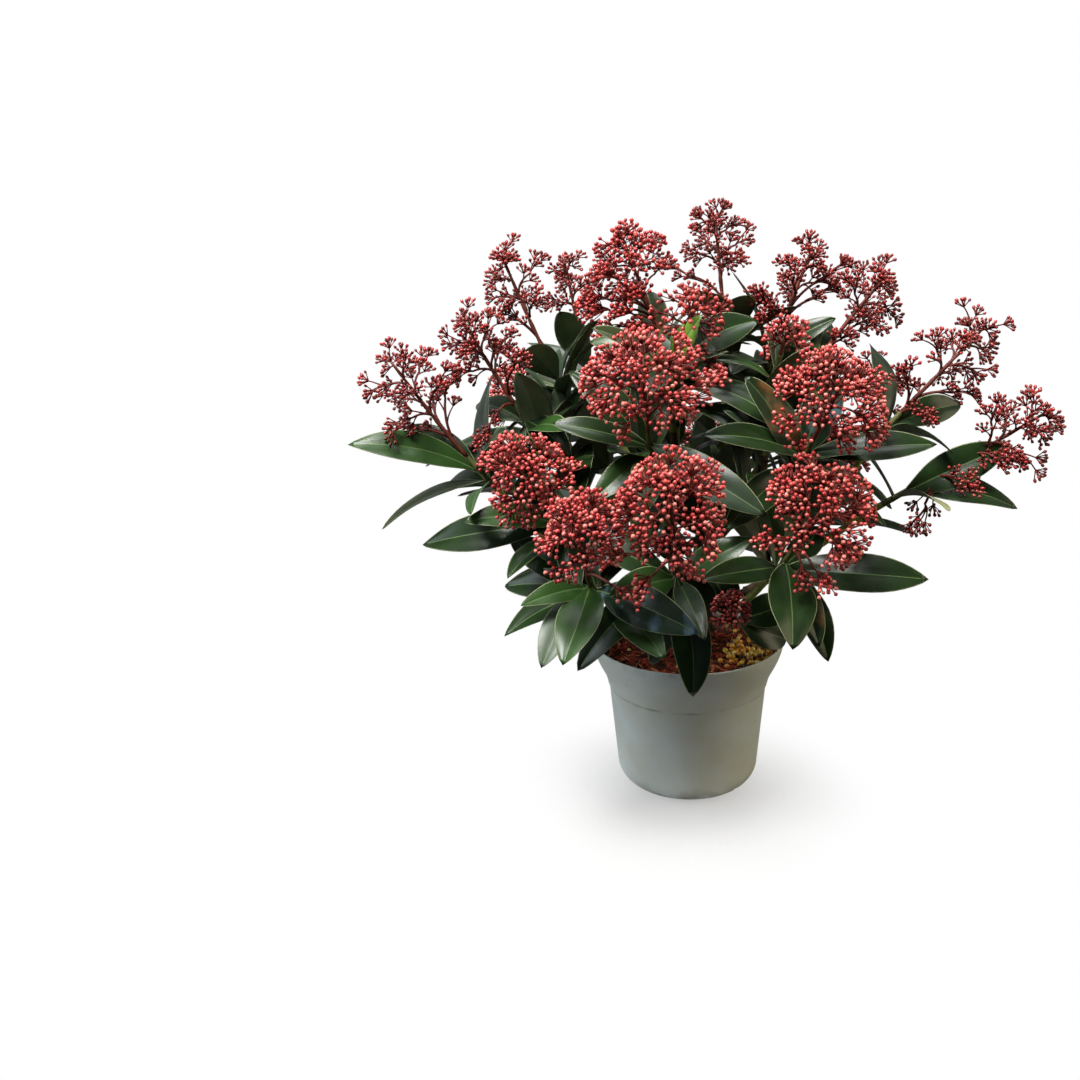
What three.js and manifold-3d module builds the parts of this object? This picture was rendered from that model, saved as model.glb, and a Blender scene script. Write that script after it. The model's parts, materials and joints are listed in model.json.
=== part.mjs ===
// A skimmia in its nursery pot: a short trunk, boughs that fork from it, and at
// the end of every bough a leafy shoot that carries a head of flower buds.
// Millimetres, +Z up. The origin is the centre of the pot's flat underside.
import * as THREE from "three";
import { mergeVertices } from "three/addons/utils/BufferGeometryUtils.js";
import Module from "manifold-3d";

const wasm = await Module();
wasm.setup();

// ---------- driving dimensions ----------

const GAP = 0.35; // clearance between pieces that touch on the real plant
const SMOOTHING = 0.1; // slivers flatter than this are dropped from a joined solid

const POT = {
  sides: 32,
  wall: 1.3,
  floor: 1.5,
  foot: { flatRadius: 36, steps: 3 }, // the underside is flat out to here, then rounds up
  // outer wall from the top of the rounded foot to the lip: [radius, height]
  outline: [
    [48.4, 14.5],
    [53.5, 72],
    [54.4, 73],
    [56, 80],
    [61.6, 91],
    [64.6, 100],
    [65, 105],
  ],
  notches: 3,
  firstNotch: -41, // bearing in degrees
  notch: { width: 6, height: 5, radius: 44 },
};

const SOIL = {
  sides: 16,
  rim: 95,
  // the top inside the rim, before its lumps: [radius, height]
  crown: [
    [48, 97.5],
    [32, 98],
    [16, 98],
  ],
  flatRadius: 16,
  lump: { rise: 1.6, acrossX: 0.31, acrossY: 0.27 },
};

const TRUNK = {
  sides: 10,
  steps: 10,
  stepBias: 1.4, // the rings stand closer together towards the foot
  foot: [0, 0],
  tip: [-2, 3],
  height: 34,
  radius: 6.4,
  taper: 0.14,
  flareRadius: 11,
  flareHeight: 9,
  roots: { count: 5, rise: 0.16, topShare: 1 / 3 },
};

const BOUGH = {
  sides: 5,
  steps: 5,
  mainRadius: 3.4,
  forkRadius: 2.7,
  tipRadius: 2.1,
  handleShare: 0.3,
  // how much a bough's first direction turns up, or along the bough that it leaves
  lift: 0.3,
  leaderLift: 3,
  follow: 0.9,
  socketClear: 0.3,
};

const STEM = {
  sides: 4,
  steps: 6,
  belowWhorl: 16,
  neck: 12,
  topShare: 0.9,
  radius: 2.2,
  rachisRadius: 1.8,
  tipRadius: 1.5,
};

const LEAF = {
  seed: 2000,
  perWhorl: 6,
  mostTurns: 18, // how many turns of the golden angle look for a free place
  length: 76,
  sizes: { least: 0.72, range: 0.34 },
  smallHead: { spread: 17, share: 0.62 }, // a shoot with a head under this spread has small leaves
  lifts: { least: -8, range: 44 }, // degrees above the plane of the whorl
  droop: 0.12,
  apart: 0.6, // a ruled leaf stays this many radians off every leading leaf
  belowWhorl: 1,
  leadingStep: 2.6, // how far each leaf stands below the one before it
  ruledStep: 2.3,
  faceUp: 0.6,
  faceOut: 0.6,
  // what a leaf tries where it would touch something: [swing, lift, size]
  tries: [
    [0, 0, 1],
    [0, 14, 1],
    [0, -14, 1],
    [16, 0, 1],
    [-16, 0, 1],
    [0, 8, 0.75],
    [0, -8, 0.75],
  ],
  widthShare: 0.29,
  thicknessShare: 0.02,
  fold: 0.18, // how far the two halves rise from the midrib, as a share of half the width
  bow: 0.1, // how far the midrib arches, as a share of the length
  stalkWidth: 2.2,
  lowestRise: -0.3, // no ruled leaf hangs steeper than this, as a share of its length
  // how wide the blade is along the midrib: [share of length, share of width]
  outline: [
    [0.3, 0.8],
    [0.66, 0.97],
  ],
  goldenAngle: 2.39996,
};

const HEAD = {
  centreShare: 0.6, // where the dome of buds has its centre, along the head's axis
  seed: 1000,
  firstStep: 0.35, // how far from the dome's top the first cluster stands, in steps
  polarRange: 1.25, // 1 covers the upper half of the dome, more reaches below it
  twigRoot: 0.8,
  twigNeck: 1.1,
  neckBack: 1.1, // how far before a cluster's centre its twig ends, in cluster radii
  tipAhead: 0.8,
  clusterShare: 0.36, // a cluster's radius as a share of the head's spread
  smallestCluster: 4.6,
  largestCluster: 8.4,
  strayCluster: 6.2,
  sunk: 0.8, // how far a cluster stands inside the dome, in cluster radii
  wander: { least: 0.9, range: 0.14 },
  outwardLift: 0.3,
  // where a twig leaves the axis, as shares of the head's length
  forks: { lowest: 0.2, highest: 0.86, below: 0.6, strayLowest: 0.12, strayShare: 0.45 },
  tries: [1, 0.8, 0.62],
};

// Each shoot: whorl is where its leaves leave the stem, tip is the top of its
// head of buds, spread the head's half width, clusters how many it carries.
// from and at say where its bough forks. strays are clusters on long twigs of
// their own, and leaves lists the leading leaves as [bearing, rise, length,
// width, toFront], with angles in degrees; toFront turns the blade's face to
// the front (-Y). The rest of the whorl follows the leaf rule, up to perWhorl
// leaves or the shoot's own leafCount.
const SHOOTS = [
  {
    name: "front_centre", from: "trunk", at: 0.44, whorl: [-7, -80, 181], tip: [-10, -148, 259],
    spread: 34, clusters: 12, strays: [[-27, -118, 184], [2, -124, 196], [-44, -112, 200]],
    leaves: [
      [51, -55, 54, 22, 0.4],
      [-53, -77, 78, 24, 0.4],
      [-159, -74, 60, 18, 0.4],
      [-171, -44, 86, 22, 0.4],
      [-139, 1, 52, 22, 0.6],
    ],
  },
  {
    name: "centre", from: "trunk", at: 1, whorl: [-23, -40, 250], tip: [-27, -92, 316],
    spread: 37, clusters: 13, strays: [[19, -62, 296]],
    leaves: [
      [-32, -22, 88, 24, 0.5],
      [-168, 17, 64, 18, 0.3],
      [-140, -28, 52, 18, 0.6],
      [-27, -52, 62, 24, 0.6],
      [-95, -55, 62, 24, 0.6],
    ],
  },
  {
    name: "right_mid", from: "centre", at: 0.3, whorl: [73, -30, 240], tip: [92, -66, 299],
    spread: 38, clusters: 13, strays: [[66, -60, 253]],
    leaves: [
      [-8, 6, 78, 22, 0.6],
      [-156, 8, 80, 22, 0.4],
      [-163, 56, 66, 26, 1],
      [56, 41, 64, 26, 1],
    ],
  },
  {
    name: "front_left", from: "trunk", at: 0.7, whorl: [-59, -80, 171], tip: [-61, -148, 241],
    spread: 26, clusters: 9, strays: [[-31, -120, 179]],
    leaves: [
      [-100, -20, 70, 27, 0.3],
      [-117, -28, 66, 22, 0.2],
      [-143, -8, 56, 17, 0.3],
      [-37, -6, 80, 26, 1.4],
      [158, -6, 66, 20, 0.6],
    ],
  },
  {
    name: "left_front", from: "front_left", at: 0.45, whorl: [-80, -40, 198], tip: [-104, -98, 258],
    spread: 28, clusters: 9, strays: [[-69, -70, 242]],
    leaves: [
      [176, -10, 94, 26, 0.9],
      [-155, 10, 66, 20, 0.5],
      [-74, -35, 50, 18, 0.4],
    ],
  },
  {
    name: "right_front", from: "trunk", at: 0.24, whorl: [60, -60, 180], tip: [86, -100, 242],
    spread: 34, clusters: 11, strays: [[43, -90, 205], [80, -100, 178], [69, -95, 181]],
    leaves: [
      [-89, -31, 66, 30, 0.3],
      [-64, -41, 58, 22, 0.3],
      [-39, -56, 65, 22, 0.6],
      [-134, 9, 70, 20, -0.3],
      [-10, 0, 90, 28, 0.6],
    ],
  },
  {
    name: "far_right", from: "trunk", at: 0.6, whorl: [136, -20, 212], tip: [225, -20, 267],
    spread: 30, clusters: 9, leafCount: 4,
    strays: [[200, -30, 234], [168, -50, 226], [141, -40, 196]],
    leaves: [
      [-8, -7, 68, 23, 1],
      [16, 20, 72, 24, 1],
      [-64, 5, 52, 18, 2.2],
    ],
  },
  {
    name: "right", from: "far_right", at: 0.42, whorl: [128, 10, 247], tip: [192, 20, 315],
    spread: 26, clusters: 8, leafCount: 3,
    strays: [[134, 0, 288], [180, 10, 268], [148, -10, 259]],
    leaves: [
      [28, 8, 58, 20, 1],
      [104, 58, 60, 24, 0.8],
    ],
  },
  {
    name: "far_left", from: "trunk", at: 0.36, whorl: [-135, -20, 228], tip: [-190, -30, 309],
    spread: 33, clusters: 9, strays: [[-181, -30, 260], [-155, -10, 285]],
    leaves: [
      [-160, 17, 86, 24, 1.2],
      [165, 28, 60, 20, 0.5],
    ],
  },
  {
    name: "left_mid", from: "far_left", at: 0.52, whorl: [-106, 0, 257], tip: [-145, -5, 328],
    spread: 28, clusters: 9, strays: [[-104, -20, 302], [-130, -30, 250]],
    leaves: [
      [-45, -20, 50, 20, 0.5],
      [140, 6, 50, 20, 0.5],
      [-97, -37, 56, 22, 0.5],
    ],
  },
  {
    name: "upper_left", from: "left_mid", at: 0.36, whorl: [-86, 40, 274], tip: [-127, 50, 366],
    spread: 26, clusters: 7, strays: [[-121, 40, 323]],
    leaves: [[-115, 30, 54, 22, 0]],
  },
  {
    name: "upper_left_back", from: "tall_left", at: 0.36, whorl: [-69, 90, 269], tip: [-87, 100, 353],
    spread: 18, clusters: 6, strays: [],
    leaves: [[-113, 50, 66, 22, 0]],
  },
  {
    name: "tall_left", from: "trunk", at: 0.78, whorl: [-14, 30, 298], tip: [-46, 50, 376],
    spread: 25, clusters: 9, leafCount: 4,
    strays: [
      [-56, 20, 310], [-40, 25, 334], [-66, 30, 330], [-54, 24, 348], [-36, 22, 312],
      [-63, 24, 322], [-49, 20, 300], [-44, 22, 322], [-32, 24, 334],
    ],
    leaves: [
      [108, 36, 52, 20, 0],
      [60, 30, 50, 20, 0],
      [141, -47, 52, 22, 0.5],
    ],
  },
  {
    name: "top_front", from: "tall_left", at: 0.6, whorl: [-6, -10, 294], tip: [8, -20, 341],
    spread: 22, clusters: 7, strays: [[20, -25, 290]],
    leaves: [
      [24, 22, 60, 25, 1],
      [172, 16, 58, 18, 0.4],
      [-57, 61, 42, 15, 1.5],
    ],
  },
  {
    name: "top", from: "trunk", at: 0.6, whorl: [27, 70, 297], tip: [18, 90, 385],
    spread: 26, clusters: 9, strays: [[-17, 80, 344], [49, 60, 325], [10, 45, 330], [16, 35, 314]],
    leaves: [],
  },
  {
    name: "upper_right", from: "top", at: 0.55, whorl: [59, 60, 288], tip: [85, 70, 361],
    spread: 23, clusters: 7,
    strays: [[44, 50, 328], [54, 50, 322], [46, 42, 312], [98, 62, 329], [105, 62, 344]],
    leaves: [[-12, 30, 46, 15, 2]],
  },
  {
    name: "upper_right_back", from: "top", at: 0.3, whorl: [84, 40, 283], tip: [134, 50, 345],
    spread: 26, clusters: 8, strays: [[104, 30, 302], [118, 48, 310]],
    leaves: [[74, 30, 46, 20, 1.5]],
  },
  {
    name: "mid_right_small", from: "right_mid", at: 0.55, whorl: [55, 0, 285], tip: [63, -10, 318],
    spread: 15, clusters: 4, strays: [], leafCount: 4,
    leaves: [],
  },
  {
    name: "low_front", from: "right_front", at: 0.3, whorl: [30, -66, 143], tip: [23, -102, 168],
    spread: 12, clusters: 4, strays: [], leafCount: 3,
    leaves: [
      [27, -28, 42, 22, 0.6],
      [40, -1, 42, 22, 0.6],
      [150, 62, 44, 24, 0.3],
    ],
  },
  {
    name: "back_left", from: "upper_left_back", at: 0.3, whorl: [-98, 105, 212], tip: [-140, 158, 262],
    spread: 30, clusters: 8, strays: [],
    leaves: [],
  },
  {
    name: "back_mid_left", from: "back_mid", at: 0.5, whorl: [-42, 142, 205], tip: [-56, 204, 262],
    spread: 30, clusters: 8, strays: [],
    leaves: [],
  },
  {
    name: "back_mid", from: "trunk", at: 0.4, whorl: [12, 122, 172], tip: [16, 196, 214],
    spread: 30, clusters: 8, strays: [],
    leaves: [],
  },
  {
    name: "back_right", from: "back_mid", at: 0.42, whorl: [62, 138, 208], tip: [84, 196, 266],
    spread: 30, clusters: 8, strays: [],
    leaves: [],
  },
  {
    name: "back_far_right", from: "upper_right_back", at: 0.28, whorl: [104, 88, 214], tip: [152, 136, 262],
    spread: 28, clusters: 8, strays: [],
    leaves: [],
  },
  {
    name: "low_right", from: "far_right", at: 0.3, whorl: [80, 58, 168], tip: [122, 98, 214],
    spread: 24, clusters: 6, strays: [],
    leaves: [],
  },
  {
    name: "low_left", from: "far_left", at: 0.3, whorl: [-78, 56, 172], tip: [-122, 92, 220],
    spread: 24, clusters: 6, strays: [],
    leaves: [],
  },
];

// ---------- solids ----------

const UP = new THREE.Vector3(0, 0, 1);
const FRONT = new THREE.Vector3(0, -1, 0);

function vector(point) {
  return new THREE.Vector3(...point);
}

function closedSolid(vertices, triangles) {
  const build = (triVerts) =>
    new wasm.Manifold(new wasm.Mesh({ numProp: 3, vertProperties: vertices, triVerts }));
  const solid = build(Uint32Array.from(triangles.flat()));
  if (solid.volume() > 0) return solid;
  return build(Uint32Array.from(triangles.flatMap(([a, b, c]) => [a, c, b])));
}

// Skins a row of rings. A ring of one point closes its end to a tip.
function loft(rings) {
  const starts = [];
  const vertices = [];
  for (const ring of rings) {
    starts.push(vertices.length / 3);
    for (const point of ring) vertices.push(point.x, point.y, point.z);
  }
  const triangles = [];
  for (let i = 0; i + 1 < rings.length; i += 1) {
    const [near, far] = [starts[i], starts[i + 1]];
    const sides = Math.max(rings[i].length, rings[i + 1].length);
    for (let k = 0; k < sides; k += 1) {
      const next = (k + 1) % sides;
      if (rings[i].length > 1 && rings[i + 1].length > 1) {
        triangles.push([near + k, near + next, far + next], [near + k, far + next, far + k]);
      } else if (rings[i].length > 1) {
        triangles.push([near + k, near + next, far]);
      } else {
        triangles.push([near, far + next, far + k]);
      }
    }
  }
  const cap = (start, count, flip) => {
    for (let k = 1; k + 1 < count; k += 1) {
      triangles.push(flip ? [start, start + k + 1, start + k] : [start, start + k, start + k + 1]);
    }
  };
  cap(starts[0], rings[0].length, true);
  cap(starts.at(-1), rings.at(-1).length, false);
  return closedSolid(Float32Array.from(vertices), triangles);
}

function solidOf(geometry) {
  const bare = geometry.clone();
  bare.deleteAttribute("normal");
  bare.deleteAttribute("uv");
  const merged = mergeVertices(bare, 1e-4);
  const index = Array.from(merged.index.array);
  const triangles = [];
  for (let i = 0; i < index.length; i += 3) {
    const [a, b, c] = index.slice(i, i + 3);
    if (a !== b && b !== c && c !== a) triangles.push([a, b, c]);
  }
  return closedSolid(Float32Array.from(merged.attributes.position.array), triangles);
}

function geometryOf(solid) {
  const mesh = solid.getMesh();
  const geometry = new THREE.BufferGeometry();
  geometry.setAttribute("position", new THREE.BufferAttribute(mesh.vertProperties, 3));
  geometry.setIndex(new THREE.BufferAttribute(mesh.triVerts, 1));
  geometry.computeVertexNormals();
  return geometry;
}

// A body of several joined shapes can leave a loose scrap or seal a hollow:
// the outer skin is the piece with the most volume.
function outerSkin(solid) {
  return solid.decompose().reduce((best, piece) => (piece.volume() > best.volume() ? piece : best));
}

// A round limb along a curve, its radius a function of the share of the way.
function limb(curve, sides, steps, radiusAt) {
  const frames = curve.computeFrenetFrames(steps, false);
  const rings = [];
  for (let i = 0; i <= steps; i += 1) {
    const share = i / steps;
    const centre = curve.getPointAt(share);
    const ring = [];
    for (let k = 0; k < sides; k += 1) {
      const turn = (2 * Math.PI * k) / sides;
      const arm = frames.normals[i].clone().multiplyScalar(Math.cos(turn));
      arm.addScaledVector(frames.binormals[i], Math.sin(turn));
      ring.push(centre.clone().addScaledVector(arm, radiusAt(share)));
    }
    rings.push(ring);
  }
  return loft(rings);
}

// The plant's seeded rule for chance: the same seed gives the same plant.
function chance(seed) {
  let state = seed;
  const draw = () => {
    state = (state * 1664525 + 1013904223) % 4294967296;
    return state / 4294967296;
  };
  for (let i = 0; i < 3; i += 1) draw();
  return draw;
}

// ---------- pot and soil ----------

// Half of the pot's section from the axis to the lip, moved in and up from the
// outside: a flat underside, a rounded foot and the wall.
function potSection(inward, upward) {
  const [[radius, height], ...wall] = POT.outline;
  const flat = POT.foot.flatRadius;
  const [arcWidth, arcHeight] = [radius - flat - inward, height - upward];
  const arc = new THREE.EllipseCurve(flat, height, arcWidth, arcHeight, -Math.PI / 2, 0);
  return [
    new THREE.Vector2(0, upward),
    ...arc.getPoints(POT.foot.steps),
    ...wall.map(([out, up]) => new THREE.Vector2(out - inward, up)),
  ];
}

function potSolid() {
  const profile = [...potSection(0, 0), ...potSection(POT.wall, POT.floor).reverse()];
  const shell = new THREE.LatheGeometry(profile, POT.sides).rotateX(Math.PI / 2);
  const first = THREE.MathUtils.degToRad(POT.firstNotch);
  const notches = [];
  for (let i = 0; i < POT.notches; i += 1) {
    const { width, height, radius } = POT.notch;
    const notch = new THREE.BoxGeometry(width, width, 2 * height);
    notch.translate(radius, 0, 0).rotateZ(first + (2 * Math.PI * i) / POT.notches);
    notches.push(solidOf(notch));
  }
  return outerSkin(solidOf(shell).subtract(wasm.Manifold.union(notches)));
}

function innerRadius(height) {
  const index = POT.outline.findIndex(([, at]) => at >= height);
  const [lowRadius, low] = POT.outline[index - 1];
  const [highRadius, high] = POT.outline[index];
  return lowRadius + ((highRadius - lowRadius) * (height - low)) / (high - low) - POT.wall;
}

function rootBallSolid() {
  const clear = 2 * GAP;
  const inPot = potSection(POT.wall + clear, POT.floor + clear).filter(({ y }) => y < SOIL.rim);
  const top = SOIL.crown.map(([radius, height]) => new THREE.Vector2(radius, height));
  const edge = new THREE.Vector2(innerRadius(SOIL.rim) - clear, SOIL.rim);
  const middle = new THREE.Vector2(0, top.at(-1).y);
  const ball = new THREE.LatheGeometry([...inPot, edge, ...top, middle], SOIL.sides).rotateX(Math.PI / 2);
  const places = ball.attributes.position;
  const { rise, acrossX, acrossY } = SOIL.lump;
  for (let i = 0; i < places.count; i += 1) {
    const [x, y, z] = [places.getX(i), places.getY(i), places.getZ(i)];
    const isTop = z > SOIL.rim + 1 && Math.hypot(x, y) > SOIL.flatRadius + 1;
    if (isTop) places.setZ(i, z + rise * Math.sin(x * acrossX + 1) * Math.cos(y * acrossY));
  }
  return solidOf(ball);
}

// ---------- trunk and boughs ----------

const ground = SOIL.crown.at(-1)[1] + GAP;

const trunkCurve = new THREE.LineCurve3(
  vector([...TRUNK.foot, ground]),
  vector([...TRUNK.tip, ground + TRUNK.height]),
);

function trunkRadius(share) {
  const rise = share * TRUNK.height;
  const flare = Math.max(0, 1 - rise / TRUNK.flareHeight) ** 2;
  return TRUNK.radius * (1 - TRUNK.taper * share) + (TRUNK.flareRadius - TRUNK.radius) * flare;
}

function trunkSolid(swell) {
  const rings = [];
  const { count, rise, topShare } = TRUNK.roots;
  for (let i = 0; i <= TRUNK.steps; i += 1) {
    const share = (i / TRUNK.steps) ** TRUNK.stepBias;
    const centre = trunkCurve.getPoint(share);
    if (i === TRUNK.steps) centre.addScaledVector(UP, swell);
    const ring = [];
    for (let k = 0; k < TRUNK.sides; k += 1) {
      const turn = (2 * Math.PI * k) / TRUNK.sides;
      const root = 1 + rise * Math.cos(count * turn) * Math.max(0, 1 - share / topShare);
      const radius = trunkRadius(share) * root + swell;
      ring.push(centre.clone().add(vector([radius * Math.cos(turn), radius * Math.sin(turn), 0])));
    }
    rings.push(ring);
  }
  return loft(rings);
}

const boughs = new Map();

function headAxis(shoot) {
  return vector(shoot.tip).sub(vector(shoot.whorl)).normalize();
}

function growBough(shoot) {
  if (boughs.has(shoot.name)) return boughs.get(shoot.name);
  const fromTrunk = shoot.from === "trunk";
  const parent = fromTrunk ? null : growBough(SHOOTS.find(({ name }) => name === shoot.from));
  const start = fromTrunk ? trunkCurve.getPoint(shoot.at) : parent.curve.getPointAt(shoot.at);
  const whorl = vector(shoot.whorl);
  const straight = whorl.clone().sub(start);
  const length = straight.length();
  const arrive = straight.clone().normalize().add(headAxis(shoot)).normalize();
  const end = whorl.clone().addScaledVector(arrive, -STEM.belowWhorl);
  const leave = vector([straight.x, straight.y, 0]).normalize();
  if (fromTrunk) leave.addScaledVector(UP, shoot.at === 1 ? BOUGH.leaderLift : BOUGH.lift);
  else leave.addScaledVector(parent.curve.getTangentAt(shoot.at), BOUGH.follow);
  const handle = length * BOUGH.handleShare;
  const curve = new THREE.CubicBezierCurve3(
    start,
    start.clone().addScaledVector(leave.normalize(), handle),
    end.clone().addScaledVector(arrive, -handle),
    end,
  );
  const rootRadius = fromTrunk ? BOUGH.mainRadius : BOUGH.forkRadius;
  const radiusAt = (share) => rootRadius + (BOUGH.tipRadius - rootRadius) * share;
  const whole = limb(curve, BOUGH.sides, BOUGH.steps, radiusAt);
  const clear = GAP + BOUGH.socketClear;
  const socket = fromTrunk
    ? trunkSolid(GAP)
    : limb(parent.curve, BOUGH.sides, BOUGH.steps, (share) => parent.radiusAt(share) + clear);
  const bough = { shoot, curve, radiusAt, arrive, solid: outerSkin(whole.subtract(socket)) };
  boughs.set(shoot.name, bough);
  return bough;
}

// ---------- shoots: stem, leaves and heads of buds ----------

function frameAcross(axis) {
  const side = new THREE.Vector3().crossVectors(axis, UP).normalize();
  return [side, new THREE.Vector3().crossVectors(side, axis).normalize()];
}

function bearingRise(bearing, rise) {
  const [turn, lift] = [THREE.MathUtils.degToRad(bearing), THREE.MathUtils.degToRad(rise)];
  return vector([Math.cos(turn) * Math.cos(lift), Math.sin(turn) * Math.cos(lift), Math.sin(lift)]);
}

// A blade with a three-sided section: two edges and a thick midrib under them.
function leafSolid(base, direction, length, width, faceTo) {
  const tip = base.clone().addScaledVector(direction, length);
  const normal = faceTo.clone().addScaledVector(direction, -faceTo.dot(direction)).normalize();
  const crest = base.clone().lerp(tip, 0.5).addScaledVector(normal, 2 * LEAF.bow * length);
  const midrib = new THREE.QuadraticBezierCurve3(base, crest, tip);
  const across = new THREE.Vector3().crossVectors(direction, normal);
  const section = (share, wide, thick) => {
    const centre = midrib.getPoint(share);
    const along = midrib.getTangent(share);
    const rise = new THREE.Vector3().crossVectors(across, along).normalize();
    const edge = centre.clone().addScaledVector(rise, (LEAF.fold * wide) / 2);
    return [
      edge.clone().addScaledVector(across, wide / 2),
      edge.clone().addScaledVector(across, -wide / 2),
      centre.clone().addScaledVector(rise, -thick),
    ];
  };
  const thick = LEAF.thicknessShare * length;
  const rings = [section(0, LEAF.stalkWidth, LEAF.stalkWidth / 2)];
  for (const [share, wide] of LEAF.outline) rings.push(section(share, wide * width, thick));
  rings.push([tip]);
  return loft(rings);
}

// One cluster of buds at the end of its twig: a club that swells from the twig.
function clusterSolid(root, centre, outward, radius) {
  const along = centre.clone().sub(root).normalize();
  const ringAt = (place, axis, size) => {
    const [side, over] = frameAcross(axis);
    return [0, 1, 2, 3].map((k) => {
      const turn = (Math.PI * k) / 2;
      const arm = side.clone().multiplyScalar(size * Math.cos(turn));
      return place.clone().add(arm).addScaledVector(over, size * Math.sin(turn));
    });
  };
  const neck = centre.clone().addScaledVector(along, -HEAD.neckBack * radius);
  const tip = centre.clone().addScaledVector(outward, HEAD.tipAhead * radius);
  return loft([
    ringAt(root, along, HEAD.twigRoot),
    ringAt(neck, along, HEAD.twigNeck),
    ringAt(centre, along, radius),
    [tip],
  ]);
}

// Where the clusters of a head stand: evenly dealt over a dome round its axis.
function clusterPlaces(shoot) {
  const draw = chance(HEAD.seed + SHOOTS.indexOf(shoot));
  const whorl = vector(shoot.whorl);
  const axis = headAxis(shoot);
  const length = vector(shoot.tip).distanceTo(whorl);
  const [side, over] = frameAcross(axis);
  const sized = Math.max(HEAD.smallestCluster, HEAD.clusterShare * shoot.spread);
  const radius = Math.min(HEAD.largestCluster, sized);
  const spin = 2 * Math.PI * draw();
  const heart = HEAD.centreShare * length;
  const { forks, wander } = HEAD;
  const places = [];
  for (let i = 0; i < shoot.clusters; i += 1) {
    const polar = 1 - (HEAD.polarRange * (i + HEAD.firstStep)) / shoot.clusters;
    const out = Math.sqrt(Math.max(0, 1 - polar * polar));
    const turn = spin + i * LEAF.goldenAngle;
    const radial = side.clone().multiplyScalar(Math.cos(turn)).addScaledVector(over, Math.sin(turn));
    const share = wander.least + wander.range * draw();
    const reach = (shoot.spread - radius * HEAD.sunk) * out * share;
    const height = heart + (length - heart - radius * HEAD.sunk) * polar * share;
    const centre = whorl.clone().addScaledVector(axis, height).addScaledVector(radial, reach);
    const below = Math.min(height - forks.below * reach, forks.highest * length);
    const root = whorl.clone().addScaledVector(axis, Math.max(forks.lowest * length, below));
    const outward = axis.clone().multiplyScalar(polar + HEAD.outwardLift);
    outward.addScaledVector(radial, out).normalize();
    places.push({ root, centre, outward, radius });
  }
  for (const stray of shoot.strays) {
    const centre = vector(stray);
    const height = centre.clone().sub(whorl).dot(axis);
    const along = Math.max(forks.strayLowest * length, forks.strayShare * height);
    const root = whorl.clone().addScaledVector(axis, along);
    const outward = centre.clone().sub(root).normalize().add(UP).normalize();
    places.push({ root, centre, outward, radius: HEAD.strayCluster });
  }
  return places;
}

// The whorl: the leading leaves first, then the rest at the golden angle, the
// lowest leaves wide open and the upper ones closing round the stem.
function leafPlaces(shoot, arrive) {
  const draw = chance(LEAF.seed + SHOOTS.indexOf(shoot));
  const whorl = vector(shoot.whorl);
  const axis = headAxis(shoot);
  const [side, over] = frameAcross(axis);
  const outward = vector([whorl.x, whorl.y, 0]).normalize();
  const faceTo = axis.clone().addScaledVector(UP, LEAF.faceUp).addScaledVector(outward, LEAF.faceOut);
  const places = shoot.leaves.map(([bearing, rise, length, width, toFront], i) => ({
    base: whorl.clone().addScaledVector(arrive, -LEAF.leadingStep * i - LEAF.belowWhorl),
    direction: bearingRise(bearing, rise),
    length,
    width,
    faceTo: faceTo.clone().addScaledVector(FRONT, toFront),
  }));
  const leading = places.map(({ direction }) => direction);
  const wanted = shoot.leafCount ?? LEAF.perWhorl;
  const share = shoot.spread < LEAF.smallHead.spread ? LEAF.smallHead.share : 1;
  const spin = 2 * Math.PI * draw();
  for (let i = 0; places.length < wanted && i < LEAF.mostTurns; i += 1) {
    const turn = spin + i * LEAF.goldenAngle;
    const lift = THREE.MathUtils.degToRad(LEAF.lifts.least + LEAF.lifts.range * draw());
    const size = share * LEAF.length * (LEAF.sizes.least + LEAF.sizes.range * draw());
    const direction = side.clone().multiplyScalar(Math.cos(turn)).addScaledVector(over, Math.sin(turn));
    direction.multiplyScalar(Math.cos(lift)).addScaledVector(axis, Math.sin(lift));
    direction.addScaledVector(UP, -LEAF.droop).normalize();
    direction.setZ(Math.max(direction.z, LEAF.lowestRise)).normalize();
    const crowded = leading.some((other) => other.angleTo(direction) < LEAF.apart);
    if (crowded) continue;
    const base = whorl.clone().addScaledVector(arrive, -LEAF.ruledStep * places.length - LEAF.belowWhorl);
    places.push({ base, direction, length: size, width: LEAF.widthShare * size, faceTo });
  }
  return places;
}

// ---------- growing the plant ----------

const trunk = trunkSolid(0);
SHOOTS.forEach(growBough);

const limbs = [potSolid(), rootBallSolid(), trunk, ...[...boughs.values()].map(({ solid }) => solid)];
const grown = new Map(SHOOTS.map(({ name }) => [name, []]));

function boxesMeet(a, b) {
  const [p, q] = [a.boundingBox(), b.boundingBox()];
  return [0, 1, 2].every((k) => p.min[k] - GAP < q.max[k] && q.min[k] - GAP < p.max[k]);
}

function isClear(solid, owner) {
  const others = [...grown].flatMap(([name, pieces]) => (name === owner ? [] : pieces));
  return [...limbs, ...others].every(
    (other) => !boxesMeet(solid, other) || solid.minGap(other, 2 * GAP) > GAP,
  );
}

function growStem({ shoot, curve, arrive }) {
  const start = curve.getPoint(1).addScaledVector(arrive, GAP);
  const whorl = vector(shoot.whorl);
  const axis = headAxis(shoot);
  const neck = whorl.clone().addScaledVector(axis, STEM.neck);
  const end = whorl.clone().lerp(vector(shoot.tip), STEM.topShare);
  const path = new THREE.CatmullRomCurve3([start, whorl, neck, end]);
  const whorlShare = STEM.belowWhorl / (STEM.belowWhorl + whorl.distanceTo(end));
  const radiusAt = (share) => {
    if (share < whorlShare) return STEM.radius;
    const above = (share - whorlShare) / (1 - whorlShare);
    return THREE.MathUtils.lerp(STEM.rachisRadius, STEM.tipRadius, above);
  };
  return limb(path, STEM.sides, STEM.steps, radiusAt);
}

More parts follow.
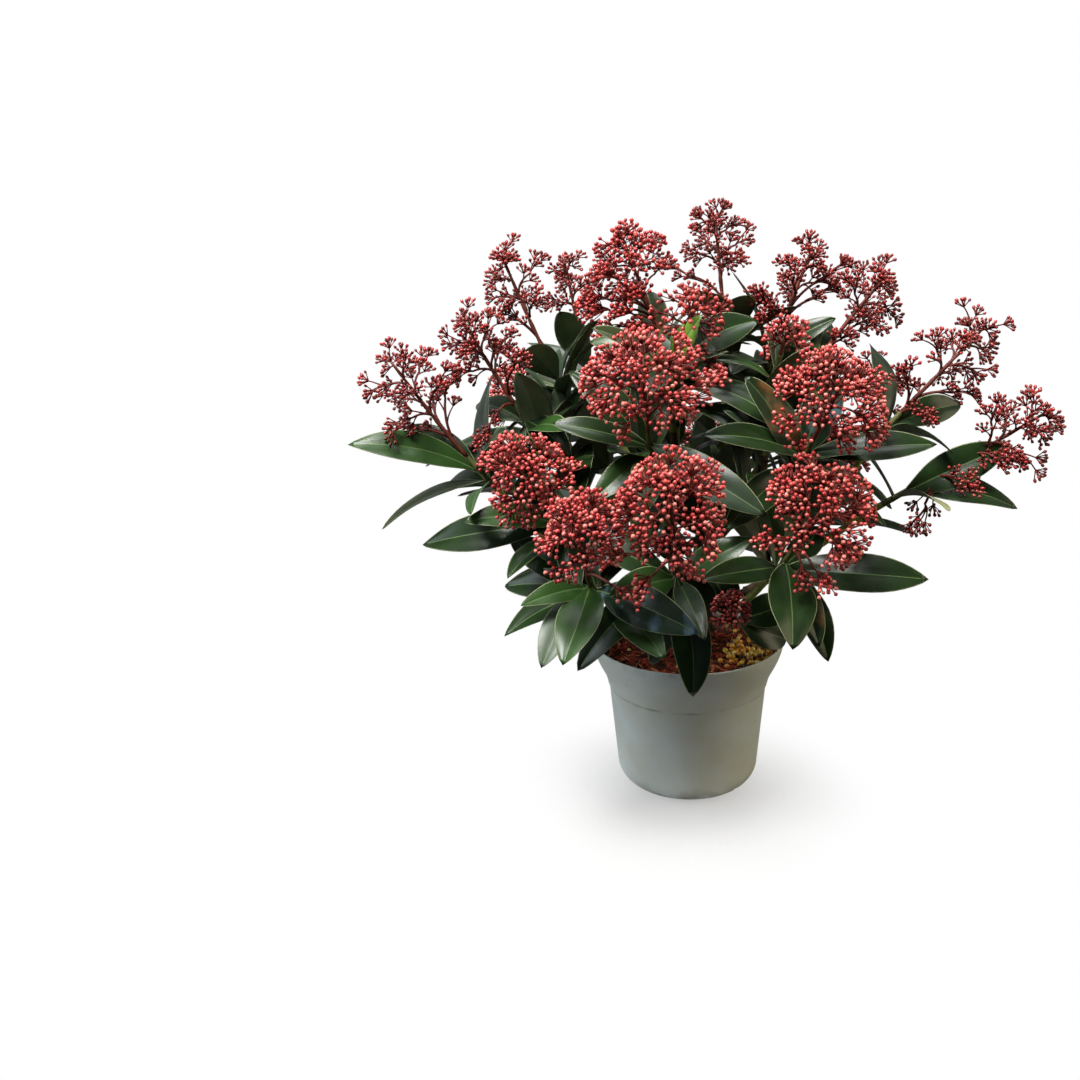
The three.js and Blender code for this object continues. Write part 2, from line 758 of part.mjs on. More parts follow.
for (const bough of boughs.values()) grown.get(bough.shoot.name).push(growStem(bough));

for (const shoot of SHOOTS) {
  for (const { root, centre, outward, radius } of clusterPlaces(shoot)) {
    const tries = HEAD.tries.map((size) => clusterSolid(root, centre, outward, size * radius));
    const fit = tries.find((solid) => isClear(solid, shoot.name));
    if (fit) grown.get(shoot.name).push(fit);
  }
}

function growLeaf(shoot, place) {
  const across = new THREE.Vector3().crossVectors(place.direction, place.faceTo).normalize();
  for (const [swing, lift, size] of LEAF.tries) {
    const direction = place.direction.clone();
    direction.applyAxisAngle(across, THREE.MathUtils.degToRad(lift));
    direction.applyAxisAngle(UP, THREE.MathUtils.degToRad(swing));
    const solid = leafSolid(place.base, direction, size * place.length, place.width, place.faceTo);
    if (isClear(solid, shoot.name)) {
      grown.get(shoot.name).push(solid);
      return;
    }
  }
}

const whorls = SHOOTS.map((shoot) => [shoot, leafPlaces(shoot, boughs.get(shoot.name).arrive)]);
for (const [shoot, places] of whorls) {
  for (const place of places.slice(0, shoot.leaves.length)) growLeaf(shoot, place);
}
for (const [shoot, places] of whorls) {
  for (const place of places.slice(shoot.leaves.length)) growLeaf(shoot, place);
}

// ---------- the assembly ----------

const MATERIALS = {
  pot: new THREE.MeshStandardMaterial({ color: 0x8f9a9c, roughness: 0.55, metalness: 0 }),
  soil: new THREE.MeshStandardMaterial({ color: 0x3a2218, roughness: 0.95, metalness: 0 }),
  bark: new THREE.MeshStandardMaterial({ color: 0x5b4a35, roughness: 0.85, metalness: 0 }),
  shoot: new THREE.MeshStandardMaterial({ color: 0x2f4a2a, roughness: 0.45, metalness: 0 }),
};

function named(name, solid, material) {
  const mesh = new THREE.Mesh(geometryOf(solid), material.clone());
  mesh.name = name;
  return mesh;
}

const plant = new THREE.Group();
plant.add(named("pot", limbs[0], MATERIALS.pot));
plant.add(named("root_ball", limbs[1], MATERIALS.soil));
plant.add(named("trunk", trunk, MATERIALS.bark));
for (const [name, { solid }] of boughs) plant.add(named(`bough_${name}`, solid, MATERIALS.bark));
for (const [name, pieces] of grown) {
  const whole = outerSkin(wasm.Manifold.union(pieces).asOriginal().simplify(SMOOTHING));
  plant.add(named(`shoot_${name}`, whole, MATERIALS.shoot));
}

export default plant;
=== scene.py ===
# A skimmia in its nursery pot. A short trunk forks into boughs, every bough ends in
# a whorl of leathery leaves, and above the leaves stands a branching head of buds.
import json
import math
from collections import namedtuple
from functools import lru_cache

import bmesh
import bpy
import numpy as np
from mathutils import Matrix, Vector, noise

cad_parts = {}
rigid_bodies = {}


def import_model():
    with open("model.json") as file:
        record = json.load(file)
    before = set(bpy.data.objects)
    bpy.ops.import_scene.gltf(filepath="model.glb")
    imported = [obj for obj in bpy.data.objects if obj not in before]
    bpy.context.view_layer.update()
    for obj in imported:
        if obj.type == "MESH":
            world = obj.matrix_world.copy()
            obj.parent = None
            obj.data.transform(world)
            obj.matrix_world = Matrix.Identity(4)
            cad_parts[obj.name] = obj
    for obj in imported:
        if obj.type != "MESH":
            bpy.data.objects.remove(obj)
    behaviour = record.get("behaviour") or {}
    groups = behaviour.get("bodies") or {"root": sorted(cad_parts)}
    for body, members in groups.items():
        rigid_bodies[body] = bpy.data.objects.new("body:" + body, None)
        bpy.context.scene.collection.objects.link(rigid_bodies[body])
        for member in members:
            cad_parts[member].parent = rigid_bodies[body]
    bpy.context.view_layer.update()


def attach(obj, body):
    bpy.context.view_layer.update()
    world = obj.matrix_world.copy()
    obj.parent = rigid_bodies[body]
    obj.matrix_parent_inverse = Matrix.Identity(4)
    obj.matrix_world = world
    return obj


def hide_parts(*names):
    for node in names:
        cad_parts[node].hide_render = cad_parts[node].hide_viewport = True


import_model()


# ---------- the camera ----------
# It stands under a metre in front of the pot, a little above the plant, looks down
# on it, and is turned to the left so that the plant fills the right of the picture.

CAMERA_PLACE = (0, -0.780, 0.437)
CAMERA_PITCH = 0.3263
CAMERA_TURN = 0.11895


def placed(name, data):
    """An object of its own in the scene."""
    thing = bpy.data.objects.new(name, data)
    bpy.context.scene.collection.objects.link(thing)
    return thing


camera_data = bpy.data.cameras.new("camera")
camera_data.sensor_width = 36
camera_data.lens = 41
camera = placed("camera", camera_data)
level = Matrix.Rotation(math.pi / 2 - CAMERA_PITCH, 4, "X")
camera.matrix_world = Matrix.Translation(CAMERA_PLACE) @ level @ Matrix.Rotation(CAMERA_TURN, 4, "Y")
bpy.context.scene.camera = camera
bpy.context.scene.view_settings.view_transform = "Standard"


# ---------- the pot ----------
# A nursery pot formed from one thin sheet of grey plastic: a flared rim with a rolled
# lip, a step where the pots of a stack part, and a rounded foot with three drain holes.

MM = 0.001
POT_WALL = 1.3
POT_FLOOR = 1.5
FOOT_FLAT = 36  # the underside is flat out to here, then rounds up
FOOT_TOP = (48.4, 14.5)
FOOT_STEPS = 12
POT_SIDE = [  # outer wall above the foot, up to the lip: radius, height, run of its rounding
    (53.5, 72, 0.35), (54.4, 73, 0.35), (56, 80, 3.2), (61.6, 91, 4), (64.6, 100, 3), (65, 105, 0.5),
]
POT_STEPS = 160
HOLES = 3
FIRST_HOLE = -41  # bearing in degrees
HOLE_WIDTH = 6
HOLE_HEIGHT = 5
HOLE_RADIUS = 44
SPECKS = 0.86  # how rare the specks of dirt are
STAINS_AND_GROOVE_SHADE = [  # middle of the band, its reach, noise that starts and fills it, strength
    # the groove of the step: dried soil, and painted shade in the groove
    (71.6, 1.6, 0.45, 0.68, 0.6),
    (0, 16, 0.42, 0.7, 0.75),
    (104, 6, 0.5, 0.7, 0.4),
]


def tint(red, green, blue):
    """A finish's colour, given as it is seen on a screen."""
    return [((c / 255 + 0.055) / 1.055) ** 2.4 if c > 10 else c / 255 / 12.92 for c in (red, green, blue)]


def node(tree, kind, inputs=(), **settings):
    """One shader node with its inputs, each a value or the socket that feeds it."""
    made = tree.nodes.new(kind)
    for name, value in settings.items():
        setattr(made, name, value)
    for name, value in dict(inputs).items():
        if isinstance(value, bpy.types.NodeSocket):
            tree.links.new(value, made.inputs[name])
        elif isinstance(value, list):
            made.inputs[name].default_value = (*value, 1)
        else:
            made.inputs[name].default_value = value
    return made


def maths(tree, operation, first, second=0.0):
    """One sum with two values."""
    return node(tree, "ShaderNodeMath", {0: first, 1: second}, operation=operation).outputs[0]


def ramp(tree, value, low, high, start=0.0, end=1.0, **settings):
    """A value brought from one range to another, and held at its ends."""
    inputs = {"Value": value, "From Min": low, "From Max": high, "To Min": start, "To Max": end}
    return node(tree, "ShaderNodeMapRange", inputs, **settings).outputs[0]


def blend(tree, share, first, second):
    """Two colours mixed by a share."""
    inputs = {"Factor": share, 6: first, 7: second}
    return node(tree, "ShaderNodeMix", inputs, data_type="RGBA").outputs[2]


def finish(name, colour, roughness, specular, coat=0.0):
    """A material of one plain finish, and its shader's inputs."""
    material = bpy.data.materials.new(name)
    material.use_nodes = True
    shader = material.node_tree.nodes["Principled BSDF"].inputs
    shader["Base Color"].default_value = (*colour, 1)
    shader["Roughness"].default_value = roughness
    shader["Specular IOR Level"].default_value = specular
    shader["Coat Weight"].default_value = coat
    return material, shader


# Two tones in clouds of one size, with a finer grain for the bump.
CLOUD_PATTERN = ("Size", "Start", "Full", "Grain", "Fine")
clouds = bpy.data.node_groups.new("clouds", "ShaderNodeTree")
for socket in ("Tone", "Other"):
    clouds.interface.new_socket(socket, in_out="INPUT", socket_type="NodeSocketColor")
for socket in CLOUD_PATTERN:
    clouds.interface.new_socket(socket, in_out="INPUT", socket_type="NodeSocketFloat")
clouds.interface.new_socket("Color", in_out="OUTPUT", socket_type="NodeSocketColor")
clouds.interface.new_socket("Height", in_out="OUTPUT", socket_type="NodeSocketFloat")
given = clouds.nodes.new("NodeGroupInput").outputs
put = clouds.nodes.new("NodeGroupOutput").inputs
place = node(clouds, "ShaderNodeTexCoord").outputs["Object"]
big = node(clouds, "ShaderNodeTexNoise", {"Vector": place, "Scale": given["Size"], "Detail": 4})
small_inputs = {"Vector": place, "Scale": given["Grain"], "Detail": given["Fine"]}
small = node(clouds, "ShaderNodeTexNoise", small_inputs)
cloudy = ramp(clouds, big.outputs["Fac"], given["Start"], given["Full"])
clouds.links.new(blend(clouds, cloudy, given["Tone"], given["Other"]), put["Color"])
clouds.links.new(small.outputs["Fac"], put["Height"])


def clouded(name, tone, other, pattern, roughness, specular, bump=None, coat=0.0):
    """A finish in two tones of cloud. pattern: the clouds' scale, the noise that starts and
    fills them, and the grain's scale and detail. bump: the grain's strength and depth."""
    material, shader = finish(name, tone, roughness, specular, coat)
    tree = material.node_tree
    inputs = {"Tone": tone, "Other": other, **dict(zip(CLOUD_PATTERN, pattern))}
    worked = node(tree, "ShaderNodeGroup", inputs, node_tree=clouds).outputs
    tree.links.new(worked["Color"], shader["Base Color"])
    if bump:
        raised = {"Height": worked["Height"], "Strength": bump[0], "Distance": bump[1]}
        tree.links.new(node(tree, "ShaderNodeBump", raised).outputs["Normal"], shader["Normal"])
    return material


def mesh_of(name, bm):
    mesh = bpy.data.meshes.new(name)
    bm.to_mesh(mesh)
    bm.free()
    return mesh


def new_piece(name, mesh, finishes, replaced=()):
    """The mesh as a finished piece that rides on the one body."""
    for material in finishes:
        mesh.materials.append(material)
    piece = placed(name, mesh)
    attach(piece, "root")
    if replaced:
        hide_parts(*replaced)
    return piece


def spun(name, outline, steps):
    """An outline of (radius, height, rounding), turned round the upright axis."""
    bm = bmesh.new()
    corners = [bm.verts.new((radius * MM, 0, height * MM)) for radius, height, _ in outline]
    for a, b in zip(corners, corners[1:]):
        bm.edges.new((a, b))
    for corner, (_, _, run) in zip(corners, outline):
        if run:
            bmesh.ops.bevel(
                bm, geom=[corner], offset=run * MM, affect="VERTICES", segments=4, profile=0.5, material=-1
            )
    whole = bm.verts[:] + bm.edges[:]
    bmesh.ops.spin(
        bm, geom=whole, cent=(0, 0, 0), axis=(0, 0, 1), angle=math.tau, steps=steps, use_merge=True
    )
    bmesh.ops.remove_doubles(bm, verts=bm.verts, dist=1e-6)
    bmesh.ops.recalc_face_normals(bm, faces=bm.faces)
    for face in bm.faces:
        face.smooth = True
    return mesh_of(name, bm)


def foot_arc(inward, upward):
    """The foot's quarter round, moved in and up from the outside of the pot."""
    wide, high = FOOT_TOP[0] - FOOT_FLAT - inward, FOOT_TOP[1] - upward
    turns = [math.pi / 2 * i / FOOT_STEPS for i in range(FOOT_STEPS + 1)]
    return [(FOOT_FLAT + wide * math.sin(t), upward + high * (1 - math.cos(t)), 0) for t in turns]


inner_side = [(radius - POT_WALL, height, run) for radius, height, run in POT_SIDE]
inner_wall = [*foot_arc(POT_WALL, POT_FLOOR), *inner_side]
pot_section = [(0, 0, 0), *foot_arc(0, 0), *POT_SIDE, *reversed(inner_wall), (0, POT_FLOOR, 0)]

POT_TONES = tint(198, 205, 204), tint(185, 186, 174)
grey_plastic = clouded("grey_plastic", *POT_TONES, (26, 0.3, 0.7, 2600, 3), 0.46, 0.4, (0.12, 0.0003))
tree = grey_plastic.node_tree
pot_colour = tree.nodes["Principled BSDF"].inputs["Base Color"]
place = node(tree, "ShaderNodeTexCoord").outputs["Object"]
specks = node(tree, "ShaderNodeTexVoronoi", {"Vector": place, "Scale": 130.0}).outputs
luck = node(tree, "ShaderNodeSeparateColor", {0: specks["Color"]}).outputs[0]
speck = ramp(tree, specks["Distance"], 0.09, 0.05, 0.0, 0.75)
dirt = maths(tree, "MULTIPLY", speck, maths(tree, "GREATER_THAN", luck, SPECKS))
soiled_and_shaded = blend(tree, dirt, pot_colour.links[0].from_socket, tint(60, 48, 36))
# Soil that washed over the rim has dried in the groove of the step and round the foot. In the groove the
# darker band is also painted shade, where the groove's shadow falls.
pot_height = node(tree, "ShaderNodeSeparateXYZ", {0: place}).outputs["Z"]
patches = node(tree, "ShaderNodeTexNoise", {"Vector": place, "Scale": 75.0, "Detail": 6}).outputs["Fac"]
for middle, reach, least, most, strength in STAINS_AND_GROOVE_SHADE:
    away = maths(tree, "ABSOLUTE", maths(tree, "SUBTRACT", pot_height, middle * MM))
    band = ramp(tree, away, reach * MM, 0.0, 0.0, strength)
    stain_and_shade = maths(tree, "MULTIPLY", band, ramp(tree, patches, least, most))
    soiled_and_shaded = blend(tree, stain_and_shade, soiled_and_shaded, tint(74, 64, 46))
tree.links.new(soiled_and_shaded, pot_colour)

pot = new_piece("pot_shell", spun("pot_shell", pot_section, POT_STEPS), [grey_plastic], ["pot"])
cutters = bmesh.new()
for i in range(HOLES):
    turn = Matrix.Rotation(math.radians(FIRST_HOLE) + math.tau * i / HOLES, 4, "Z")
    size = Matrix.Diagonal((HOLE_WIDTH * MM, HOLE_WIDTH * MM, 2 * HOLE_HEIGHT * MM, 1))
    shift = Matrix.Translation((HOLE_RADIUS * MM, 0, 0))
    bmesh.ops.create_cube(cutters, size=1, matrix=turn @ shift @ size)
holes = placed("holes", mesh_of("holes", cutters))
cut = pot.modifiers.new("cut", "BOOLEAN")
cut.operation = "DIFFERENCE"
cut.solver = "MANIFOLD"
cut.object = holes
bpy.context.view_layer.update()
drained = bpy.data.meshes.new_from_object(pot.evaluated_get(bpy.context.evaluated_depsgraph_get()))
pot.modifiers.clear()
pot.data = drained
bpy.data.objects.remove(holes)


# ---------- the compost ----------
# Moist peat and shredded bark, filled to just under the rim. The block is one body
# with a lumpy top, and loose chips and root fibres lie on it every way.

SOIL_TOP = 98
SOIL_RIM = 95
SOIL_RADIUS = 61.6
SOIL_SETTLES_FROM = 40
SOIL_LUMP = 1.5
SOIL_GRIT = 0.5
SOIL_SUNK = 0.8
SMOOTH_TO = 14  # the lumps grow out to this distance from the trunk's middle
SOIL_CLEAR = 0.7
SOIL_RINGS = 44
SOIL_STEPS = 128
BARE_TO = 11  # no loose bark lies nearer to the trunk's middle
CHIPS = 620
FIBRES = 520
CHIP_LENGTH = 7.5
FIBRE_LENGTH = 17
FIBRE_RADII = [0.3, 0.45, 0.5, 0.4, 0.2]
FIBRE_CURL = 2.2
FIBRE_LIFT = 2.5
LITTER_RISE = 0.5  # how far the middle of a chip lies above the compost


def darker(tone, share):
    return [share * c for c in tone]


def chance(seed):
    """The plant's seeded rule for chance: the same seed gives the same plant."""
    state = seed

    def draw():
        nonlocal state
        state = (state * 1664525 + 1013904223) % 4294967296
        return state / 4294967296

    for _ in range(3):
        draw()
    return draw


def compost_height(x, y):
    """The compost's lumpy top, which settles towards the rim."""
    out = math.hypot(x, y)
    settled = min(1, max(0, (out - SOIL_SETTLES_FROM) / (SOIL_RADIUS - SOIL_SETTLES_FROM)))
    lump = noise.fractal(Vector((x, y, 0)) * 0.09, 1.0, 2.1, 4) * SOIL_LUMP
    grit = noise.noise(Vector((x, y, 7)) * 0.8) * SOIL_GRIT
    rough = (lump + grit) * min(1, out / SMOOTH_TO)
    return SOIL_TOP - (SOIL_TOP - SOIL_RIM) * settled**2 + rough - SOIL_SUNK


def joined(name, parts, finishes, replaced=()):
    """One piece from many small closed shapes, each (points in mm, triangles, finish number)."""
    starts = np.cumsum([0] + [len(points) for points, _, _ in parts[:-1]])
    points = np.concatenate([points for points, _, _ in parts]) * MM
    triangles = np.concatenate([faces + start for (_, faces, _), start in zip(parts, starts)])
    numbers = np.concatenate([np.broadcast_to(number, len(faces)) for _, faces, number in parts])
    mesh = bpy.data.meshes.new(name)
    mesh.vertices.add(len(points))
    mesh.vertices.foreach_set("co", np.asarray(points, np.float32).ravel())
    mesh.loops.add(triangles.size)
    mesh.loops.foreach_set("vertex_index", np.asarray(triangles, np.int32).ravel())
    mesh.polygons.add(len(triangles))
    mesh.polygons.foreach_set("loop_start", np.arange(0, triangles.size, 3, dtype=np.int32))
    mesh.polygons.foreach_set("material_index", np.asarray(numbers, np.int32))
    mesh.polygons.foreach_set("use_smooth", np.ones(len(triangles), bool))
    mesh.update(calc_edges=True)
    return new_piece(name, mesh, finishes, replaced)


def shape_of(bm):
    """A small template shape as arrays of points and triangles."""
    bmesh.ops.triangulate(bm, faces=bm.faces)
    bmesh.ops.recalc_face_normals(bm, faces=bm.faces)
    bm.verts.ensure_lookup_table()
    points = np.array([vert.co for vert in bm.verts])
    triangles = np.array([[vert.index for vert in face.verts] for face in bm.faces])
    bm.free()
    return points, triangles


@lru_cache(maxsize=None)
def tube_triangles(rings, sides):
    faces = []
    for i in range(rings - 1):
        for k in range(sides):
            a, b = i * sides + k, i * sides + (k + 1) % sides
            faces += [(a, b, b + sides), (a, b + sides, a + sides)]
    first, last = rings * sides, rings * sides + 1
    for k in range(sides):
        following = (k + 1) % sides
        faces.append((first, following, k))
        faces.append((last, (rings - 1) * sides + k, (rings - 1) * sides + following))
    return np.array(faces)


def unit_rows(rows):
    return rows / np.linalg.norm(rows, axis=1)[:, None]


def tube(path, radii, sides):
    """A round limb along a path of points, closed at both ends. radii: one for each point,
    or one for each point and side where the skin has relief."""
    path = np.array([tuple(point) for point in path])
    along = unit_rows(np.gradient(path, axis=0))
    least = np.eye(3)[np.argmin(np.abs(path[-1] - path[0]))]
    side = unit_rows(np.cross(along, least))
    over = np.cross(along, side)
    turn = math.tau * np.arange(sides) / sides
    arms = np.cos(turn)[None, :, None] * side[:, None] + np.sin(turn)[None, :, None] * over[:, None]
    radii = np.asarray(radii, float)
    if radii.ndim == 1:
        radii = radii[:, None]
    rings = path[:, None] + arms * radii[:, :, None]
    points = np.concatenate([rings.reshape(-1, 3), path[:1], path[-1:]])
    return points, tube_triangles(len(path), sides)


peat = clouded(
    "peat", tint(112, 68, 47), tint(62, 38, 26), (180, 0.35, 0.65, 900, 3), 0.95, 0.2, (0.9, 0.001)
)
floor_of_soil = POT_FLOOR + SOIL_CLEAR
soil_section = [
    (0, floor_of_soil, 0),
    *foot_arc(POT_WALL + SOIL_CLEAR, floor_of_soil),
    *[(radius - SOIL_CLEAR, height, 0) for radius, height, _ in inner_side if height < SOIL_RIM],
    (SOIL_RADIUS, SOIL_RIM, 0),
    *[(SOIL_RADIUS * (1 - i / SOIL_RINGS), SOIL_TOP, 0) for i in range(1, SOIL_RINGS + 1)],
]
soil = spun("compost", soil_section, SOIL_STEPS)
for vert in soil.vertices:
    if vert.co.z > (SOIL_RIM - 0.5) * MM:
        vert.co.z = compost_height(vert.co.x / MM, vert.co.y / MM) * MM
soil.update()
new_piece("compost", soil, [peat], ["root_ball"])

BARK_TONES = [(206, 86, 62), (135, 60, 43), (232, 144, 103), (77, 43, 32), (178, 69, 51)]
bark_bits = []
for number, tone in enumerate(tint(*tone) for tone in BARK_TONES):
    pattern = (420, 0.3, 0.7, 1500, 3)
    bit = clouded(f"bark_bit_{number}", tone, darker(tone, 0.55), pattern, 0.85, 0.25, (0.7, 0.0005))
    bark_bits.append(bit)

chip_bm = bmesh.new()
bmesh.ops.create_icosphere(chip_bm, subdivisions=1, radius=0.5)
bmesh.ops.scale(chip_bm, vec=(1, 0.4, 0.2), verts=chip_bm.verts)
chip_points, chip_triangles = shape_of(chip_bm)

draw = chance(31)
litter = []
for i in range(CHIPS):
    out = (SOIL_RADIUS - 2.5) * math.sqrt(draw())
    turn = math.tau * draw()
    spot = Vector((out * math.cos(turn), out * math.sin(turn), 0))
    length = CHIP_LENGTH * (0.45 + 0.8 * draw() ** 2)
    spin = Matrix.Rotation(math.tau * draw(), 3, "Z") @ Matrix.Rotation(0.9 * (draw() - 0.5), 3, "Y")
    ragged = 1 + 0.35 * (np.array([draw() for _ in chip_points]) - 0.5)
    number = int(draw() * len(bark_bits))
    if out < BARE_TO or out > SOIL_RADIUS - 1 - 0.4 * length:
        continue
    spot.z = compost_height(spot.x, spot.y) + LITTER_RISE
    points = (chip_points * ragged[:, None] * length) @ np.array(spin).T + np.array(spot)
    litter.append((points, chip_triangles, number))
for i in range(FIBRES):
    out = (SOIL_RADIUS - 8) * math.sqrt(draw())
    turn = math.tau * draw()
    heading = math.tau * draw()
    curl = FIBRE_CURL * (draw() - 0.5)
    length = FIBRE_LENGTH * (0.4 + 0.6 * draw())
    lift = FIBRE_LIFT * draw() ** 2
    number = int(draw() * len(bark_bits))
    x, y = out * math.cos(turn), out * math.sin(turn)
    path = []
    for share in (0, 0.25, 0.5, 0.75, 1):
        path.append((x, y, compost_height(x, y) + 0.6 + lift * math.sin(math.pi * share)))
        heading += curl / 4
        x += length / 4 * math.cos(heading)
        y += length / 4 * math.sin(heading)
    if all(BARE_TO < math.hypot(px, py) < SOIL_RADIUS - 1 for px, py, _ in path):
        litter.append((*tube(path, FIBRE_RADII, 3), number))
joined("bark_litter", litter, bark_bits)


# ---------- the feed beads ----------
# Coated fertiliser: glossy balls of resin, most of them ochre and yellow and a few
# dark, poured in one heap by the front right of the rim, with strays round it.

BEADS = 230
BEAD_SIZE = 3.3
HEAP_MIDDLE = Vector((41, -16, 0))
HEAP_REACH = 17
HEAP_TOP = 5
STRAY_BEADS = 16
BEADS_PRESS = 0.46  # how near two beads lie, as a share of both sizes
BEAD_STEP = 0.5  # a bead that meets others is raised by this until it is free
BEAD_TONES = [(255, 212, 82), (252, 176, 58), (255, 230, 132), (168, 110, 46), (54, 50, 46)]
BEAD_SHARES = (0.42, 0.68, 0.85, 0.94)  # where each tone ends and the next one starts

bead_finishes = []
for number, tone in enumerate(tint(*tone) for tone in BEAD_TONES):
    pattern = (300, 0.3, 0.7, 900, 3)
    bead_finishes.append(clouded(f"bead_{number}", tone, darker(tone, 0.6), pattern, 0.22, 0.6, coat=0.3))

bead_bm = bmesh.new()
bmesh.ops.create_icosphere(bead_bm, subdivisions=2, radius=0.5)
bead_points, bead_triangles = shape_of(bead_bm)

draw = chance(57)
beads = []
bead_spots = []
for i in range(BEADS):
    in_heap = i >= STRAY_BEADS
    turn = math.tau * draw()
    out = HEAP_REACH * draw() ** 0.6 if in_heap else SOIL_RADIUS * (0.4 + 0.5 * draw())
    size = BEAD_SIZE * (0.82 + 0.3 * draw())
    pick = draw()
    spot = Vector((out * math.cos(turn), 1.15 * out * math.sin(turn), 0))
    if in_heap:
        spot = HEAP_MIDDLE + spot
    if spot.length > SOIL_RADIUS - size:
        continue
    spot.z = compost_height(spot.x, spot.y) + 0.42 * size
    while any((spot - other).length < BEADS_PRESS * (size + width) for other, width in bead_spots):
        spot.z += BEAD_STEP
    if spot.z > SOIL_TOP + HEAP_TOP:
        continue
    bead_spots.append((spot.copy(), size))
    number = sum(pick >= end for end in BEAD_SHARES)
    beads.append((bead_points * size + np.array(spot), bead_triangles, number))
joined("feed_beads", beads, bead_finishes)


# ---------- the trunk and the boughs ----------
# The short trunk flares where it meets the compost. Boughs leave it or an older bough
# in a swollen collar, rise in one sweep and taper to just under their leaves. Old wood
# is grey brown with ridges and leaf scars, and the last growth is olive and smoother.

GAP = 0.35
GROUND = SOIL_TOP + GAP
TRUNK_TIP = Vector((-2, 3, 0))
TRUNK_HEIGHT = 34
TRUNK_RADIUS = 6.4
TRUNK_TAPER = 0.14
TRUNK_RINGS = 46
TRUNK_SIDES = 40
FLARE_RADIUS = 11
FLARE_HEIGHT = 9
BUTTRESSES = 5
BUTTRESS_DEPTH = 0.16
BOUGH_MAIN = 3.4
BOUGH_FORK = 2.7
BOUGH_TIP = 2.1
BOUGH_RINGS = 60
BOUGH_SIDES = 14
BELOW_WHORL = 16
BOUGH_RISE = 0.3  # how steeply a bough leaves the trunk
LEADER_RISE = 3  # the same for the one that goes on from its top
FORK_FOLLOWS = 0.9  # how far a fork keeps to the way of the bough that carries it
HANDLE_SHARE = 0.3
WAY_STEPS = 120
COLLAR = 0.45  # how much a bough swells where it leaves the older wood
COLLAR_REACH = 6
SCAR_EVERY = 11
SCAR_DEPTH = 0.12
TRUNK_RIDGES = 0.1
BOUGH_RIDGES = 0.09
YOUNG_FROM = 0.5  # the share of a bough past which it is last year's growth
UP = Vector((0, 0, 1))
FRONT = Vector((0, -1, 0))

